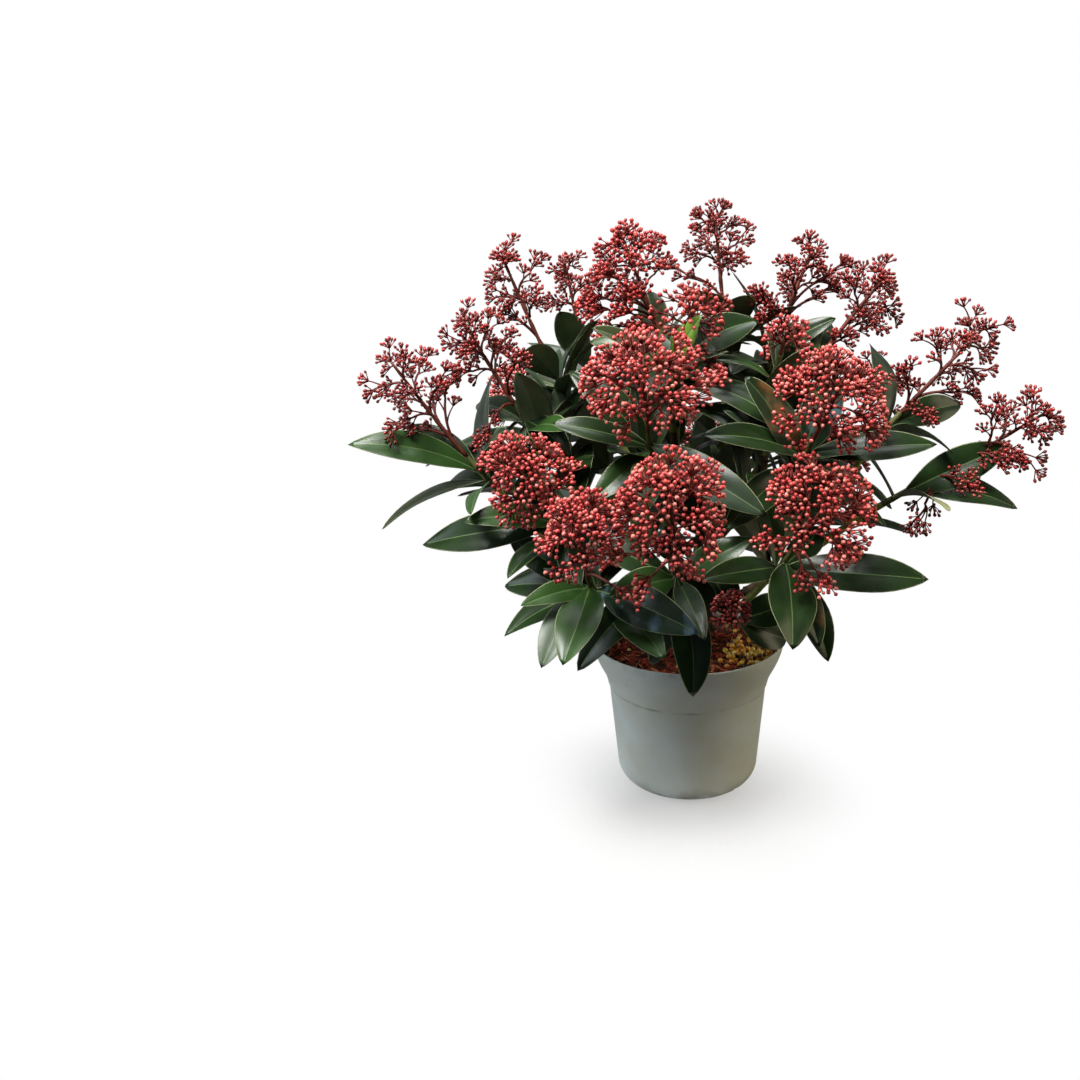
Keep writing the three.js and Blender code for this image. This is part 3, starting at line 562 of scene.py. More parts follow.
# whorl: where the leaves leave the stem. tip: the top of the head. spread: its half
# width. clusters: how many clusters of buds the rule deals over it. strays: clusters on
# long twigs of their own. leaves: the leading leaves as bearing, rise, length, width,
# how far the blade turns to the front, and a tone. in_whorl: how many leaves the whorl
# has in all. singles: how many stand below it. The habits are in the section on the heads.
Shoot = namedtuple(
    "Shoot",
    "name parent at whorl tip spread clusters habit strays leaves in_whorl singles",
    defaults=((), (), 8, 6),
)
SHOOTS = [
    Shoot("front_centre", "trunk", 0.44, (-7, -80, 181), (-10, -148, 259), 34, 12, "dome",
          [(-27, -118, 184), (2, -124, 196), (-44, -112, 200)],
          [(51, -55, 54, 22, 0.4, "deep"), (-53, -77, 78, 24, 0.4, "deep"),
           (-159, -74, 60, 18, 0.4, "dusky"), (-171, -44, 86, 22, 0.4, "deep"),
           (-139, 1, 52, 22, 0.6, "mid")], 8, 0),
    Shoot("centre", "trunk", 1, (-23, -40, 250), (-27, -92, 316), 37, 13, "dome", [(19, -62, 296)],
          [(-32, -22, 88, 24, 0.5), (-168, 17, 64, 18, 0.3), (-140, -28, 52, 18, 0.6),
           (-27, -52, 62, 24, 0.6, "deep"), (-95, -55, 62, 24, 0.6, "deep")]),
    Shoot("right_mid", "centre", 0.3, (73, -30, 240), (92, -66, 299), 38, 13, "dome", [(66, -60, 253)],
          [(-8, 6, 78, 22, 0.6), (-156, 8, 80, 22, 0.4), (-163, 56, 66, 26, 1, "bronzed"),
           (56, 41, 64, 26, 1, "blue")]),
    Shoot("front_left", "trunk", 0.7, (-59, -80, 171), (-61, -148, 241), 26, 9, "dome",
          [(-31, -120, 179)],
          [(-100, -20, 70, 27, 0.3, "mid"), (-117, -28, 66, 22, 0.2, "grey"),
           (-143, -8, 56, 17, 0.3, "mid"), (-37, -6, 80, 26, 1.4, "blue"), (158, -6, 66, 20, 0.6)]),
    Shoot("left_front", "front_left", 0.45, (-80, -40, 198), (-104, -98, 258), 28, 9, "dome",
          [(-69, -70, 242)],
          [(176, -10, 94, 26, 0.9), (-155, 10, 66, 20, 0.5), (-74, -35, 50, 18, 0.4, "deep")]),
    Shoot("right_front", "trunk", 0.24, (60, -60, 180), (86, -100, 242), 34, 11, "dome",
          [(43, -90, 205), (80, -100, 178), (69, -95, 181)],
          [(-89, -31, 66, 30, 0.3), (-64, -41, 58, 22, 0.3, "bronzed"), (-39, -56, 65, 22, 0.6),
           (-134, 9, 70, 20, -0.3, "deep"), (-10, 0, 90, 28, 0.6, "deep")], 8, 0),
    Shoot("far_right", "trunk", 0.6, (136, -20, 212), (225, -20, 267), 30, 9, "open",
          [(200, -30, 234), (168, -50, 226), (141, -40, 196)],
          [(-8, -7, 68, 23, 1), (16, 20, 72, 24, 1, "deep"), (-64, 5, 52, 18, 2.2, "pale")], 4, 0),
    Shoot("right", "far_right", 0.42, (128, 10, 247), (192, 20, 315), 26, 8, "open",
          [(134, 0, 288), (180, 10, 268), (148, -10, 259)],
          [(28, 8, 58, 20, 1), (104, 58, 60, 24, 0.8, "dusky")], 3, 0),
    Shoot("far_left", "trunk", 0.36, (-135, -20, 228), (-190, -30, 309), 33, 9, "open",
          [(-181, -30, 260), (-155, -10, 285)],
          [(-160, 17, 86, 24, 1.2), (165, 28, 60, 20, 0.5)]),
    Shoot("left_mid", "far_left", 0.52, (-106, 0, 257), (-145, -5, 328), 28, 9, "open",
          [(-104, -20, 302), (-130, -30, 250)],
          [(-45, -20, 50, 20, 0.5), (140, 6, 50, 20, 0.5), (-97, -37, 56, 22, 0.5, "deep")]),
    Shoot("upper_left", "left_mid", 0.36, (-86, 40, 274), (-127, 50, 366), 26, 7, "open",
          [(-121, 40, 323)],
          [(-115, 30, 54, 22, 0)]),
    Shoot("upper_left_back", "tall_left", 0.36, (-69, 90, 269), (-87, 100, 353), 18, 6, "open", [],
          [(-113, 50, 66, 22, 0, "bronzed")]),
    Shoot("tall_left", "trunk", 0.78, (-14, 30, 298), (-46, 50, 376), 25, 9, "loose",
          [(-56, 20, 310), (-40, 25, 334), (-66, 30, 330), (-54, 24, 348), (-36, 22, 312),
           (-63, 24, 322), (-49, 20, 300), (-44, 22, 322), (-32, 24, 334)],
          [(108, 36, 52, 20, 0), (60, 30, 50, 20, 0), (141, -47, 52, 22, 0.5, "deep")], 4),
    Shoot("top_front", "tall_left", 0.6, (-6, -10, 294), (8, -20, 341), 22, 7, "airy",
          [(20, -25, 290)],
          [(24, 22, 60, 25, 1), (172, 16, 58, 18, 0.4), (-57, 61, 42, 15, 1.5, "young")]),
    Shoot("top", "trunk", 0.6, (27, 70, 297), (18, 90, 385), 26, 9, "open",
          [(-17, 80, 344), (49, 60, 325), (10, 45, 330), (16, 35, 314)]),
    Shoot("upper_right", "top", 0.55, (59, 60, 288), (85, 70, 361), 23, 7, "open",
          [(44, 50, 328), (54, 50, 322), (46, 42, 312), (98, 62, 329), (105, 62, 344)],
          [(-12, 30, 46, 15, 2)]),
    Shoot("upper_right_back", "top", 0.3, (84, 40, 283), (134, 50, 345), 26, 8, "open",
          [(104, 30, 302), (118, 48, 310)],
          [(74, 30, 46, 20, 1.5)]),
    Shoot("mid_right_small", "right_mid", 0.55, (55, 0, 285), (63, -10, 318), 15, 4, "airy", [], [], 4),
    Shoot("low_front", "right_front", 0.3, (30, -66, 143), (23, -102, 168), 12, 4, "knot", [],
          [(27, -28, 42, 22, 0.6, "deep"), (40, -1, 42, 22, 0.6, "deep"),
           (150, 62, 44, 24, 0.3, "deep")], 3),
    Shoot("back_left", "upper_left_back", 0.3, (-98, 105, 212), (-140, 158, 262), 30, 8, "dome"),
    Shoot("back_mid_left", "back_mid", 0.5, (-42, 142, 205), (-56, 204, 262), 30, 8, "dome"),
    Shoot("back_mid", "trunk", 0.4, (12, 122, 172), (16, 196, 214), 30, 8, "dome"),
    Shoot("back_right", "back_mid", 0.42, (62, 138, 208), (84, 196, 266), 30, 8, "dome"),
    Shoot("back_far_right", "upper_right_back", 0.28, (104, 88, 214), (152, 136, 262), 28, 8, "open"),
    Shoot("low_right", "far_right", 0.3, (80, 58, 168), (122, 98, 214), 24, 6, "open"),
    Shoot("low_left", "far_left", 0.3, (-78, 56, 172), (-122, 92, 220), 24, 6, "open"),
]
BY_NAME = {shoot.name: shoot for shoot in SHOOTS}

Bough = namedtuple("Bough", "way arrive root_radius")
boughs = {}


def head_axis(shoot):
    return (Vector(shoot.tip) - Vector(shoot.whorl)).normalized()


def sweep(start, first, second, end, steps):
    """Points at even distances along a curve with two handles."""
    fine = np.array([
        (1 - t) ** 3 * np.array(start)
        + 3 * (1 - t) ** 2 * t * np.array(first)
        + 3 * (1 - t) * t**2 * np.array(second)
        + t**3 * np.array(end)
        for t in np.linspace(0, 1, 201)
    ])
    gone = np.concatenate([[0], np.cumsum(np.linalg.norm(np.diff(fine, axis=0), axis=1))])
    even = np.linspace(0, gone[-1], steps + 1)
    return np.stack([np.interp(even, gone, fine[:, k]) for k in range(3)], axis=1)


def on_trunk(share):
    return Vector((0, 0, GROUND)) + (TRUNK_TIP + UP * TRUNK_HEIGHT) * share


def on_way(way, share):
    return Vector(way[round(share * (len(way) - 1))])


def along_way(way, share):
    i = min(len(way) - 2, max(0, round(share * (len(way) - 1)) - 1))
    return Vector(way[i + 1] - way[i]).normalized()


def grow_bough(shoot):
    """The way of a shoot's bough, grown after the older one that carries it."""
    if shoot.name in boughs:
        return boughs[shoot.name]
    from_trunk = shoot.parent == "trunk"
    parent = None if from_trunk else grow_bough(BY_NAME[shoot.parent])
    start = on_trunk(shoot.at) if from_trunk else on_way(parent.way, shoot.at)
    straight = Vector(shoot.whorl) - start
    arrive = (straight.normalized() + head_axis(shoot)).normalized()
    end = Vector(shoot.whorl) - arrive * BELOW_WHORL
    leave = Vector((straight.x, straight.y, 0)).normalized()
    if from_trunk:
        leave += UP * (LEADER_RISE if shoot.at == 1 else BOUGH_RISE)
    else:
        leave += along_way(parent.way, shoot.at) * FORK_FOLLOWS
    reach = HANDLE_SHARE * straight.length
    way = sweep(start, start + leave.normalized() * reach, end - arrive * reach, end, WAY_STEPS)
    boughs[shoot.name] = Bough(way, arrive, BOUGH_MAIN if from_trunk else BOUGH_FORK)
    return boughs[shoot.name]


def bark_relief(length, rings, sides, seed, depth):
    """How much each point of a limb's skin stands out: long ridges, and rings of leaf scars."""
    skin = np.ones((rings, sides))
    for i in range(rings):
        down = length * i / (rings - 1)
        scar = max(0, math.cos(math.tau * (down / SCAR_EVERY + 0.13 * seed))) ** 12
        for k in range(sides):
            turn = math.tau * k / sides
            spot = Vector((2.2 * math.cos(turn), 2.2 * math.sin(turn), 0.16 * down + 17 * seed))
            ridge = noise.fractal(spot, 1.0, 2.0, 3)
            scar_side = max(0, math.cos(turn - 2.4 * math.floor(down / SCAR_EVERY)))
            skin[i, k] += depth * ridge + SCAR_DEPTH * scar * scar_side
    return skin


OLD_TONES = tint(108, 92, 72), tint(66, 52, 40)
YOUNG_TONES = tint(170, 182, 84), tint(140, 144, 72)
old_bark = clouded("old_bark", *OLD_TONES, (160, 0.38, 0.62, 1300, 3), 0.88, 0.25, (0.8, 0.0006))
young_bark = clouded("young_bark", *YOUNG_TONES, (120, 0.32, 0.68, 1100, 3), 0.6, 0.35, (0.5, 0.0004))

trunk_shares = (np.arange(TRUNK_RINGS) / (TRUNK_RINGS - 1)) ** 1.4
flare = np.maximum(0, 1 - trunk_shares * TRUNK_HEIGHT / FLARE_HEIGHT) ** 2
trunk_radii = TRUNK_RADIUS * (1 - TRUNK_TAPER * trunk_shares) + (FLARE_RADIUS - TRUNK_RADIUS) * flare
waves = BUTTRESS_DEPTH * np.cos(BUTTRESSES * math.tau * np.arange(TRUNK_SIDES) / TRUNK_SIDES)
buttress = 1 + waves[None, :] * np.maximum(0, 1 - trunk_shares * 3)[:, None]
trunk_skin = trunk_radii[:, None] * buttress
trunk_skin *= bark_relief(TRUNK_HEIGHT, TRUNK_RINGS, TRUNK_SIDES, 3, TRUNK_RIDGES)
wood = [(*tube([on_trunk(float(share)) for share in trunk_shares], trunk_skin, TRUNK_SIDES), 0)]
bough_shares = np.linspace(0, 1, BOUGH_RINGS)
for seed, shoot in enumerate(SHOOTS):
    bough = grow_bough(shoot)
    length = float(np.linalg.norm(np.diff(bough.way, axis=0), axis=1).sum())
    swell = 1 + COLLAR * np.exp(-bough_shares * length / COLLAR_REACH)
    radii = (bough.root_radius + (BOUGH_TIP - bough.root_radius) * bough_shares) * swell
    skin = radii[:, None] * bark_relief(length, BOUGH_RINGS, BOUGH_SIDES, seed, BOUGH_RIDGES)
    points, triangles = tube([on_way(bough.way, share) for share in bough_shares], skin, BOUGH_SIDES)
    ring = np.minimum(triangles.min(axis=1) // BOUGH_SIDES, BOUGH_RINGS - 1)
    wood.append((points, triangles, (ring > YOUNG_FROM * BOUGH_RINGS).astype(int)))
wood_nodes = ["trunk"] + [f"bough_{shoot.name}" for shoot in SHOOTS]
joined("trunk_and_boughs", wood, [old_bark, young_bark], wood_nodes)


# ---------- the heads: stems and twigs ----------
# Above the leaves each stem goes on as the axis of a panicle. Twigs leave it by the
# golden angle, fork into sprigs, and every bud sits on a thin stalk of its own. The
# wood of a head is wine red and darkens to the inside.

GOLDEN = 2.39996
CENTRE_SHARE = 0.6
POLAR_RANGE = 1.25
CLUSTER_SHARE = 0.36
SMALLEST_CLUSTER = 4.6
LARGEST_CLUSTER = 8.4
NECK = 12  # how far above the whorl the green stem turns red
NECK_LENGTH = 28
NECK_SIDES = 10
NECK_STEPS = 14
NECK_TOP = 1.7
NECK_RIDGES = 0.06
RACHIS_RADII = (1.6, 0.9)
RACHIS_STEPS = 16
TWIG_STEPS = 6
SPRIG_STEPS = 4
STALK_RADII = [0.46, 0.36]

# sprigs: how many each cluster forks into, and how far they spread. buds: how many on a
# sprig, and how far those spread. stalk: the length of a bud's stalk. ragged: how
# unevenly the sprigs reach out.
Habit = namedtuple(
    "Habit",
    "sprigs reach buds spread stalk bud_length bud_width twig ragged side_sprigs stray_sprigs stray_buds",
)
HABITS = {
    "dome": Habit(5, 12.5, 10, 6.2, 8.0, 2.8, 2.5, 0.85, 0.13, 0, 4, 5),
    "loose": Habit(5, 8.5, 8, 5.6, 6.5, 3.0, 2.7, 0.85, 0.2, 0, 6, 8),
    "airy": Habit(3, 8.0, 5, 5.4, 6.0, 3.2, 2.8, 0.85, 0.25, 1, 4, 5),
    "open": Habit(3, 6.0, 8, 4.2, 3.6, 2.9, 2.2, 0.9, 0.2, 2, 4, 8),
    "knot": Habit(4, 5.4, 11, 4.4, 3.0, 2.2, 1.7, 0.7, 0.14, 0, 4, 8),
}
DENSE = ("dome", "loose")
DEEP_SHARE = 0.74  # how far out the inner sprigs of a dense head reach
THINNING = 0.6  # how fast the sprigs of a dense head get fewer towards its foot
CLUMPING = 0.22  # how far they draw together into clusters
STRAY_RADIUS = 6.2
STRAY_TWIG = 1.15
Cluster = namedtuple("Cluster", "root centre outward radius")
Bud = namedtuple("Bud", "spot towards length width shoot")


def frame_across(axis):
    side = axis.cross(UP).normalized()
    return side, side.cross(axis).normalized()


def around(across, turn):
    """The direction at one turn round an axis, from the frame across it."""
    side, over = across
    return side * math.cos(turn) + over * math.sin(turn)


def cluster_places(shoot):
    """Where the clusters of a head stand: evenly dealt over a dome round its axis."""
    draw = chance(1000 + SHOOTS.index(shoot))
    whorl = Vector(shoot.whorl)
    axis = head_axis(shoot)
    across = frame_across(axis)
    length = (Vector(shoot.tip) - whorl).length
    radius = min(LARGEST_CLUSTER, max(SMALLEST_CLUSTER, CLUSTER_SHARE * shoot.spread))
    spin = math.tau * draw()
    heart = CENTRE_SHARE * length
    places = []
    for i in range(shoot.clusters):
        polar = 1 - POLAR_RANGE * (i + 0.35) / shoot.clusters
        out = math.sqrt(max(0, 1 - polar * polar))
        radial = around(across, spin + i * GOLDEN)
        wander = 0.9 + 0.14 * draw()
        reach = (shoot.spread - radius * 0.8) * out * wander
        height = heart + (length - heart - radius * 0.8) * polar * wander
        centre = whorl + axis * height + radial * reach
        fork_height = max(0.2 * length, min(height - 0.6 * reach, 0.86 * length))
        outward = (axis * (polar + 0.3) + radial * out).normalized()
        root = whorl + axis * fork_height
        places.append(Cluster(root.freeze(), centre.freeze(), outward.freeze(), radius))
    for stray in shoot.strays:
        centre = Vector(stray)
        fork_height = max(0.12 * length, (centre - whorl).dot(axis) * 0.45)
        root = whorl + axis * fork_height
        outward = ((centre - root).normalized() + UP).normalized()
        places.append(Cluster(root.freeze(), centre.freeze(), outward.freeze(), STRAY_RADIUS))
    return places


def bent(start, end, lean, bow, steps):
    """A short twig that leaves along one direction and bends over to its end."""
    handle = start + lean * (end - start).length * bow
    shares = (i / steps for i in range(steps + 1))
    return [start * (1 - t) ** 2 + handle * 2 * (1 - t) * t + end * t**2 for t in shares]


def dome_ends(shoot, places, draw):
    """Where the sprigs of a dense head end: evenly dealt over the whole dome, every fourth
    of them deeper in, and each grown from the cluster that stands nearest to it."""
    habit = HABITS[shoot.habit]
    whorl, tip = Vector(shoot.whorl), Vector(shoot.tip)
    axis = head_axis(shoot)
    across = frame_across(axis)
    heart = whorl.lerp(tip, CENTRE_SHARE)
    height = (tip - heart).length - habit.bud_length
    spread = shoot.spread - habit.bud_length
    count = shoot.clusters * habit.sprigs
    spin = math.tau * draw()
    dealt = {cluster: [] for cluster in places}
    dome = [cluster for cluster in places if cluster.radius != STRAY_RADIUS]
    for i in range(count):
        polar = 1 - POLAR_RANGE * (i + 0.5) / count
        out = math.sqrt(1 - polar * polar)
        reach = (DEEP_SHARE if i % 4 == 3 else 1) * (1 + habit.ragged * (2 * draw() - 1))
        radial = around(across, spin + i * GOLDEN)
        aim = heart + (axis * height * polar + radial * spread * out) * reach
        nearest = min(dome, key=lambda cluster: (cluster.centre - aim).length)
        if draw() < THINNING * (0.45 - polar):
            continue
        pulled = aim.lerp(nearest.centre, CLUMPING)
        dealt[nearest].append(heart + (pulled - heart).normalized() * (aim - heart).length)
    return dealt


def sprig_ends(shoot, cluster, fork, main, heart, dealt, draw):
    """Where each sprig of a cluster starts and ends, and the turn that the cluster starts at."""
    habit = HABITS[shoot.habit]
    is_stray = cluster.radius == STRAY_RADIUS
    across = frame_across(cluster.outward)
    out_from_heart = (cluster.centre - heart).length + 0.55 * cluster.radius
    spin = math.tau * draw()
    count = habit.stray_sprigs if is_stray else habit.sprigs
    ends = [(fork, aim) for aim in dealt.get(cluster, [])]
    for k in range(0 if ends else count):
        reach = STRAY_RADIUS if is_stray else habit.reach
        out = reach * math.sqrt((k + 0.35) / count) * (0.85 + 0.3 * draw())
        aim = cluster.centre + around(across, spin + k * GOLDEN) * out
        uneven = 1 + habit.ragged * (2 * draw() - 1)
        if is_stray:
            aim += cluster.outward * 3 * (uneven - 1) / habit.ragged
        else:
            aim = heart + (aim - heart).normalized() * out_from_heart * uneven
        ends.append((fork, aim))
    for k in range(habit.side_sprigs):
        foot = main[2 + 2 * k]
        aside = around(across, spin + 1.3 + k * math.pi) * habit.reach
        ends.append((foot, foot.lerp(cluster.centre, 0.55) + aside))
    return ends


STEM, RACHIS, TWIG = 0, 1, 2
twigs = []
bud_stalks = []
buds = []
clusters = {}
for shoot in SHOOTS:
    habit = HABITS[shoot.habit]
    draw = chance(3000 + SHOOTS.index(shoot))
    whorl, tip, axis = Vector(shoot.whorl), Vector(shoot.tip), head_axis(shoot)
    head_length = (tip - whorl).length
    bough = boughs[shoot.name]
    start = Vector(bough.way[-1])
    neck = whorl + axis * NECK
    handle = (neck - start).length * 0.4
    foot = start - bough.arrive * 1.2
    below = sweep(foot, start + bough.arrive * handle, neck - axis * handle, neck, NECK_STEPS)
    skin = bark_relief(NECK_LENGTH, NECK_STEPS + 1, NECK_SIDES, 50, NECK_RIDGES)
    skin *= np.linspace(BOUGH_TIP, NECK_TOP, NECK_STEPS + 1)[:, None]
    twigs.append((*tube(below, skin, NECK_SIDES), STEM))
    sway = Vector((draw() - 0.5, draw() - 0.5, draw() - 0.5)) * 0.05 * head_length
    first = neck + axis * 0.3 * head_length + sway
    rachis = sweep(neck - axis, first, whorl.lerp(tip, 0.7), whorl.lerp(tip, 0.9), RACHIS_STEPS)
    knots = 1 + 0.16 * np.cos(np.arange(RACHIS_STEPS + 1) * 2.2)
    twigs.append((*tube(rachis, np.linspace(*RACHIS_RADII, RACHIS_STEPS + 1) * knots, 7), RACHIS))
    heart = whorl + axis * CENTRE_SHARE * head_length
    clusters[shoot.name] = cluster_places(shoot)
    dealt = dome_ends(shoot, clusters[shoot.name], draw) if shoot.habit in DENSE else {}
    for cluster in clusters[shoot.name]:
        is_stray = cluster.radius == STRAY_RADIUS
        limb = cluster.centre - cluster.root
        lean = (axis + limb.normalized() * 0.6).normalized()
        fork = cluster.root.lerp(cluster.centre, 0.5 + 0.14 * draw()) + lean * 0.08 * limb.length
        main = bent(cluster.root, fork, lean, 0.5, TWIG_STEPS)
        thick = habit.twig * (STRAY_TWIG if is_stray else 1)
        twigs.append((*tube(main, np.linspace(thick, 0.8 * thick, TWIG_STEPS + 1), 5), TWIG))
        for foot, aim in sprig_ends(shoot, cluster, fork, main, heart, dealt, draw):
            span = (aim - foot).length
            way = (aim - foot).normalized()
            knot = aim - way * habit.stalk
            outward = (way * 0.7 + cluster.outward * 0.6).normalized()
            sprig = bent(foot, knot, (lean + outward).normalized(), 0.4, SPRIG_STEPS)
            radii = np.linspace(0.7, 0.45, SPRIG_STEPS + 1) * habit.twig
            twigs.append((*tube(sprig, radii, 4), TWIG))
            across = frame_across(outward)
            spin = math.tau * draw()
            for j in range(habit.stray_buds if is_stray else habit.buds):
                out = habit.spread * math.sqrt((j + 0.15) / habit.buds)
                drop = 0.35 * out * out / habit.spread
                jitter = habit.stalk * 0.35 * (draw() - 0.5)
                spot = aim + around(across, spin + j * GOLDEN) * out + outward * (jitter - drop)
                towards = ((spot - knot).normalized() + outward * 0.5).normalized()
                size = 0.84 + 0.3 * draw()
                buds.append(Bud(spot, towards, habit.bud_length * size, habit.bud_width * size, shoot))
                base = knot.lerp(foot, 0.25 * draw() * min(1, habit.stalk / span))
                bud_stalks.append((*tube([base, spot + towards * 0.3], STALK_RADII, 3), 0))

TWIG_TONES = {"stem_olive": (96, 98, 52), "rachis_red": (112, 52, 38), "twig_red": (106, 38, 30)}
STALK_TONE = (122, 40, 32)


def twig_finish(name, colour):
    tone = tint(*colour)
    return clouded(name, tone, darker(tone, 0.6), (240, 0.32, 0.68, 1600, 3), 0.6, 0.35, (0.4, 0.0003))


twig_finishes = [twig_finish(*row) for row in TWIG_TONES.items()]
all_shoots = [f"shoot_{shoot.name}" for shoot in SHOOTS]
joined("head_twigs", twigs, twig_finishes, all_shoots)
joined("bud_stalks", bud_stalks, [twig_finish("stalk_red", STALK_TONE)], all_shoots)


# ---------- the heads: buds ----------
# Closed flower buds, firm and waxy, each with a small dark calyx below and four petals
# that meet in a faint cross at the tip. Those that had the most sun are coral, the
# shaded ones wine red, and the small late ones brownish. The palest coral buds are
# partly a painted highlight: paler copies of the coral, dealt to buds by chance.

FULL_PROFILE = [(0.3, 0.0), (0.44, 0.16), (0.88, 0.34), (1.0, 0.6), (0.66, 0.9)]  # radius, height
SMALL_PROFILE = [(0.36, 0.0), (0.5, 0.18), (1.0, 0.5), (0.7, 0.86)]
BUD_TOP = 1.03
CALYX_TOP = 0.22
PETAL_RIDGE = 0.06
BUD_ROOM = 0.8  # how near two buds may stand, in widths
BUD_TONES = {
    # palest coral: partly the buds' own paler tone and partly a painted highlight
    "pale_coral_and_painted_highlight": (228, 128, 116),
    "coral": (206, 78, 74),
    "coral_deep": (174, 48, 46),
    "wine": (138, 30, 30),
    "russet": (156, 58, 50),
    "brown_red": (120, 42, 40),
    "calyx": (90, 26, 22),
}
BUD_MIX = {
    "dome": (0, 0, 1, 1, 1, 2, 2, 2),
    "loose": (1, 2, 2, 2, 3, 3, 4),
    "airy": (1, 1, 4, 2, 4),
    "open": (2, 4, 4, 5, 5),
    "knot": (4, 1, 1, 4, 0),
}
BUD_GROUPS = {
    "buds_front_left": ("front_centre", "centre", "front_left", "left_front"),
    "buds_front_right": (
        "right_front", "right_mid", "top_front", "tall_left", "low_front", "mid_right_small",
    ),
    "buds_crown": (
        "far_right", "right", "far_left", "left_mid", "upper_left", "upper_left_back", "top",
        "upper_right", "upper_right_back",
    ),
    "buds_back": (
        "back_left", "back_mid_left", "back_mid", "back_right", "back_far_right", "low_right", "low_left",
    ),
}


def bud_shape(profile, sides):
    """A closed bud one unit long and wide, and which of its faces are the calyx."""
    bm = bmesh.new()
    rings = []
    for radius, height in profile:
        ring = bmesh.ops.create_circle(bm, segments=sides, radius=radius / 2, cap_ends=False)["verts"]
        bmesh.ops.translate(bm, verts=ring, vec=(0, 0, height))
        rings.append(ring)
    for ring in rings[-2:]:
        for i, vert in enumerate(ring):
            ridge = 1 + PETAL_RIDGE * (1 if i % 2 else -1)
            vert.co = (vert.co.x * ridge, vert.co.y * ridge, vert.co.z)
    loops = [[edge for edge in bm.edges if all(vert in ring for vert in edge.verts)] for ring in rings]
    for lower, upper in zip(loops, loops[1:]):
        bmesh.ops.bridge_loops(bm, edges=lower + upper)
    top = bm.verts.new((0, 0, BUD_TOP))
    for edge in loops[-1]:
        bm.faces.new((*edge.verts, top))
    bmesh.ops.contextual_create(bm, geom=loops[0])
    points, triangles = shape_of(bm)
    return points, triangles, points[triangles].mean(axis=1)[:, 2] < CALYX_TOP


full_bud, small_bud = bud_shape(FULL_PROFILE, 8), bud_shape(SMALL_PROFILE, 6)
bud_finishes = []
for name, colour in BUD_TONES.items():
    other = tint(*darker(colour, 0.86))
    pattern = (330, 0.3, 0.7, 1400, 3)
    skin = clouded(f"bud_{name}", tint(*colour), other, pattern, 0.34, 0.5, (0.15, 0.0002), coat=0.15)
    bud_finishes.append(skin)

draw = chance(71)
kept = {name: [] for name in BY_NAME}
for bud in buds:
    others = kept[bud.shoot.name]
    mix = BUD_MIX[bud.shoot.habit]
    tone = mix[int(draw() * len(mix))]
    middle = bud.spot + bud.towards * 0.5 * bud.length
    if all((middle - other).length_squared >= (BUD_ROOM * bud.width) ** 2 for other, _, _ in others):
        others.append((middle, bud, tone))
for group, names in BUD_GROUPS.items():
    parts = []
    for _, bud, tone in [row for name in names for row in kept[name]]:
        points, triangles, is_calyx = small_bud if bud.shoot.habit == "open" else full_bud
        turn_to = np.array([*frame_across(bud.towards), bud.towards])
        sized = points * (bud.width, bud.width, bud.length)
        numbers = np.where(is_calyx, len(bud_finishes) - 1, tone)
        parts.append((sized @ turn_to + np.array(bud.spot), triangles, numbers))
    joined(group, parts, bud_finishes, [f"shoot_{name}" for name in names])


# ---------- the leaves ----------
# Leathery evergreen blades in whorls: dark and glossy above with a thin pale margin and
# a sunken pale midrib, dull olive below, folded a little along the midrib and arched.
# A few dark blades carry a painted sheen: bluish-grey clouds that stand in for reflected light.

LEAF_LENGTH = 76
SMALL_HEAD = 17  # the leaves under a head of a smaller spread than this are small
SMALL_SHARE = 0.62
WIDTH_SHARE = 0.29
LEAF_THICKNESS = 0.45
FOLD = 0.18
BOW = 0.1
STALK_WIDTH = 2.4
MARGIN = 0.5
MIDRIB = 0.45
RIB_SUNK = 0.25
MOST_TURNS = 24  # how many turns of the golden angle look for a free place
LEAST_ANGLE = 0.6  # how near to the direction of a leading leaf another may point, in radians
LOWEST_RISE = -0.3
FRONT_RISE = 0.08  # the least that a single leaf in front rises, so that none hides the compost
OPEN_FOOT = 150  # no single leaf in front of the trunk starts lower than this
LOWER_FROM = 0.42  # the share of a bough above which it still carries leaves
LEAF_ROOM = 3.6  # how near two leaves may come
NEAR_LEADING = 7  # how many sample points of a leading leaf may lie too near to something
NEAR_OTHER = 2
ROWS = 17
TOP_COLUMNS = 10
UNDER_COLUMNS = 6
RIB_COLUMN = 4

Leaf = namedtuple("Leaf", "base direction length width face_to shoot leading tone")


def bearing_rise(bearing, rise):
    turn, lift = math.radians(bearing), math.radians(rise)
    return Vector((math.cos(turn) * math.cos(lift), math.sin(turn) * math.cos(lift), math.sin(lift)))


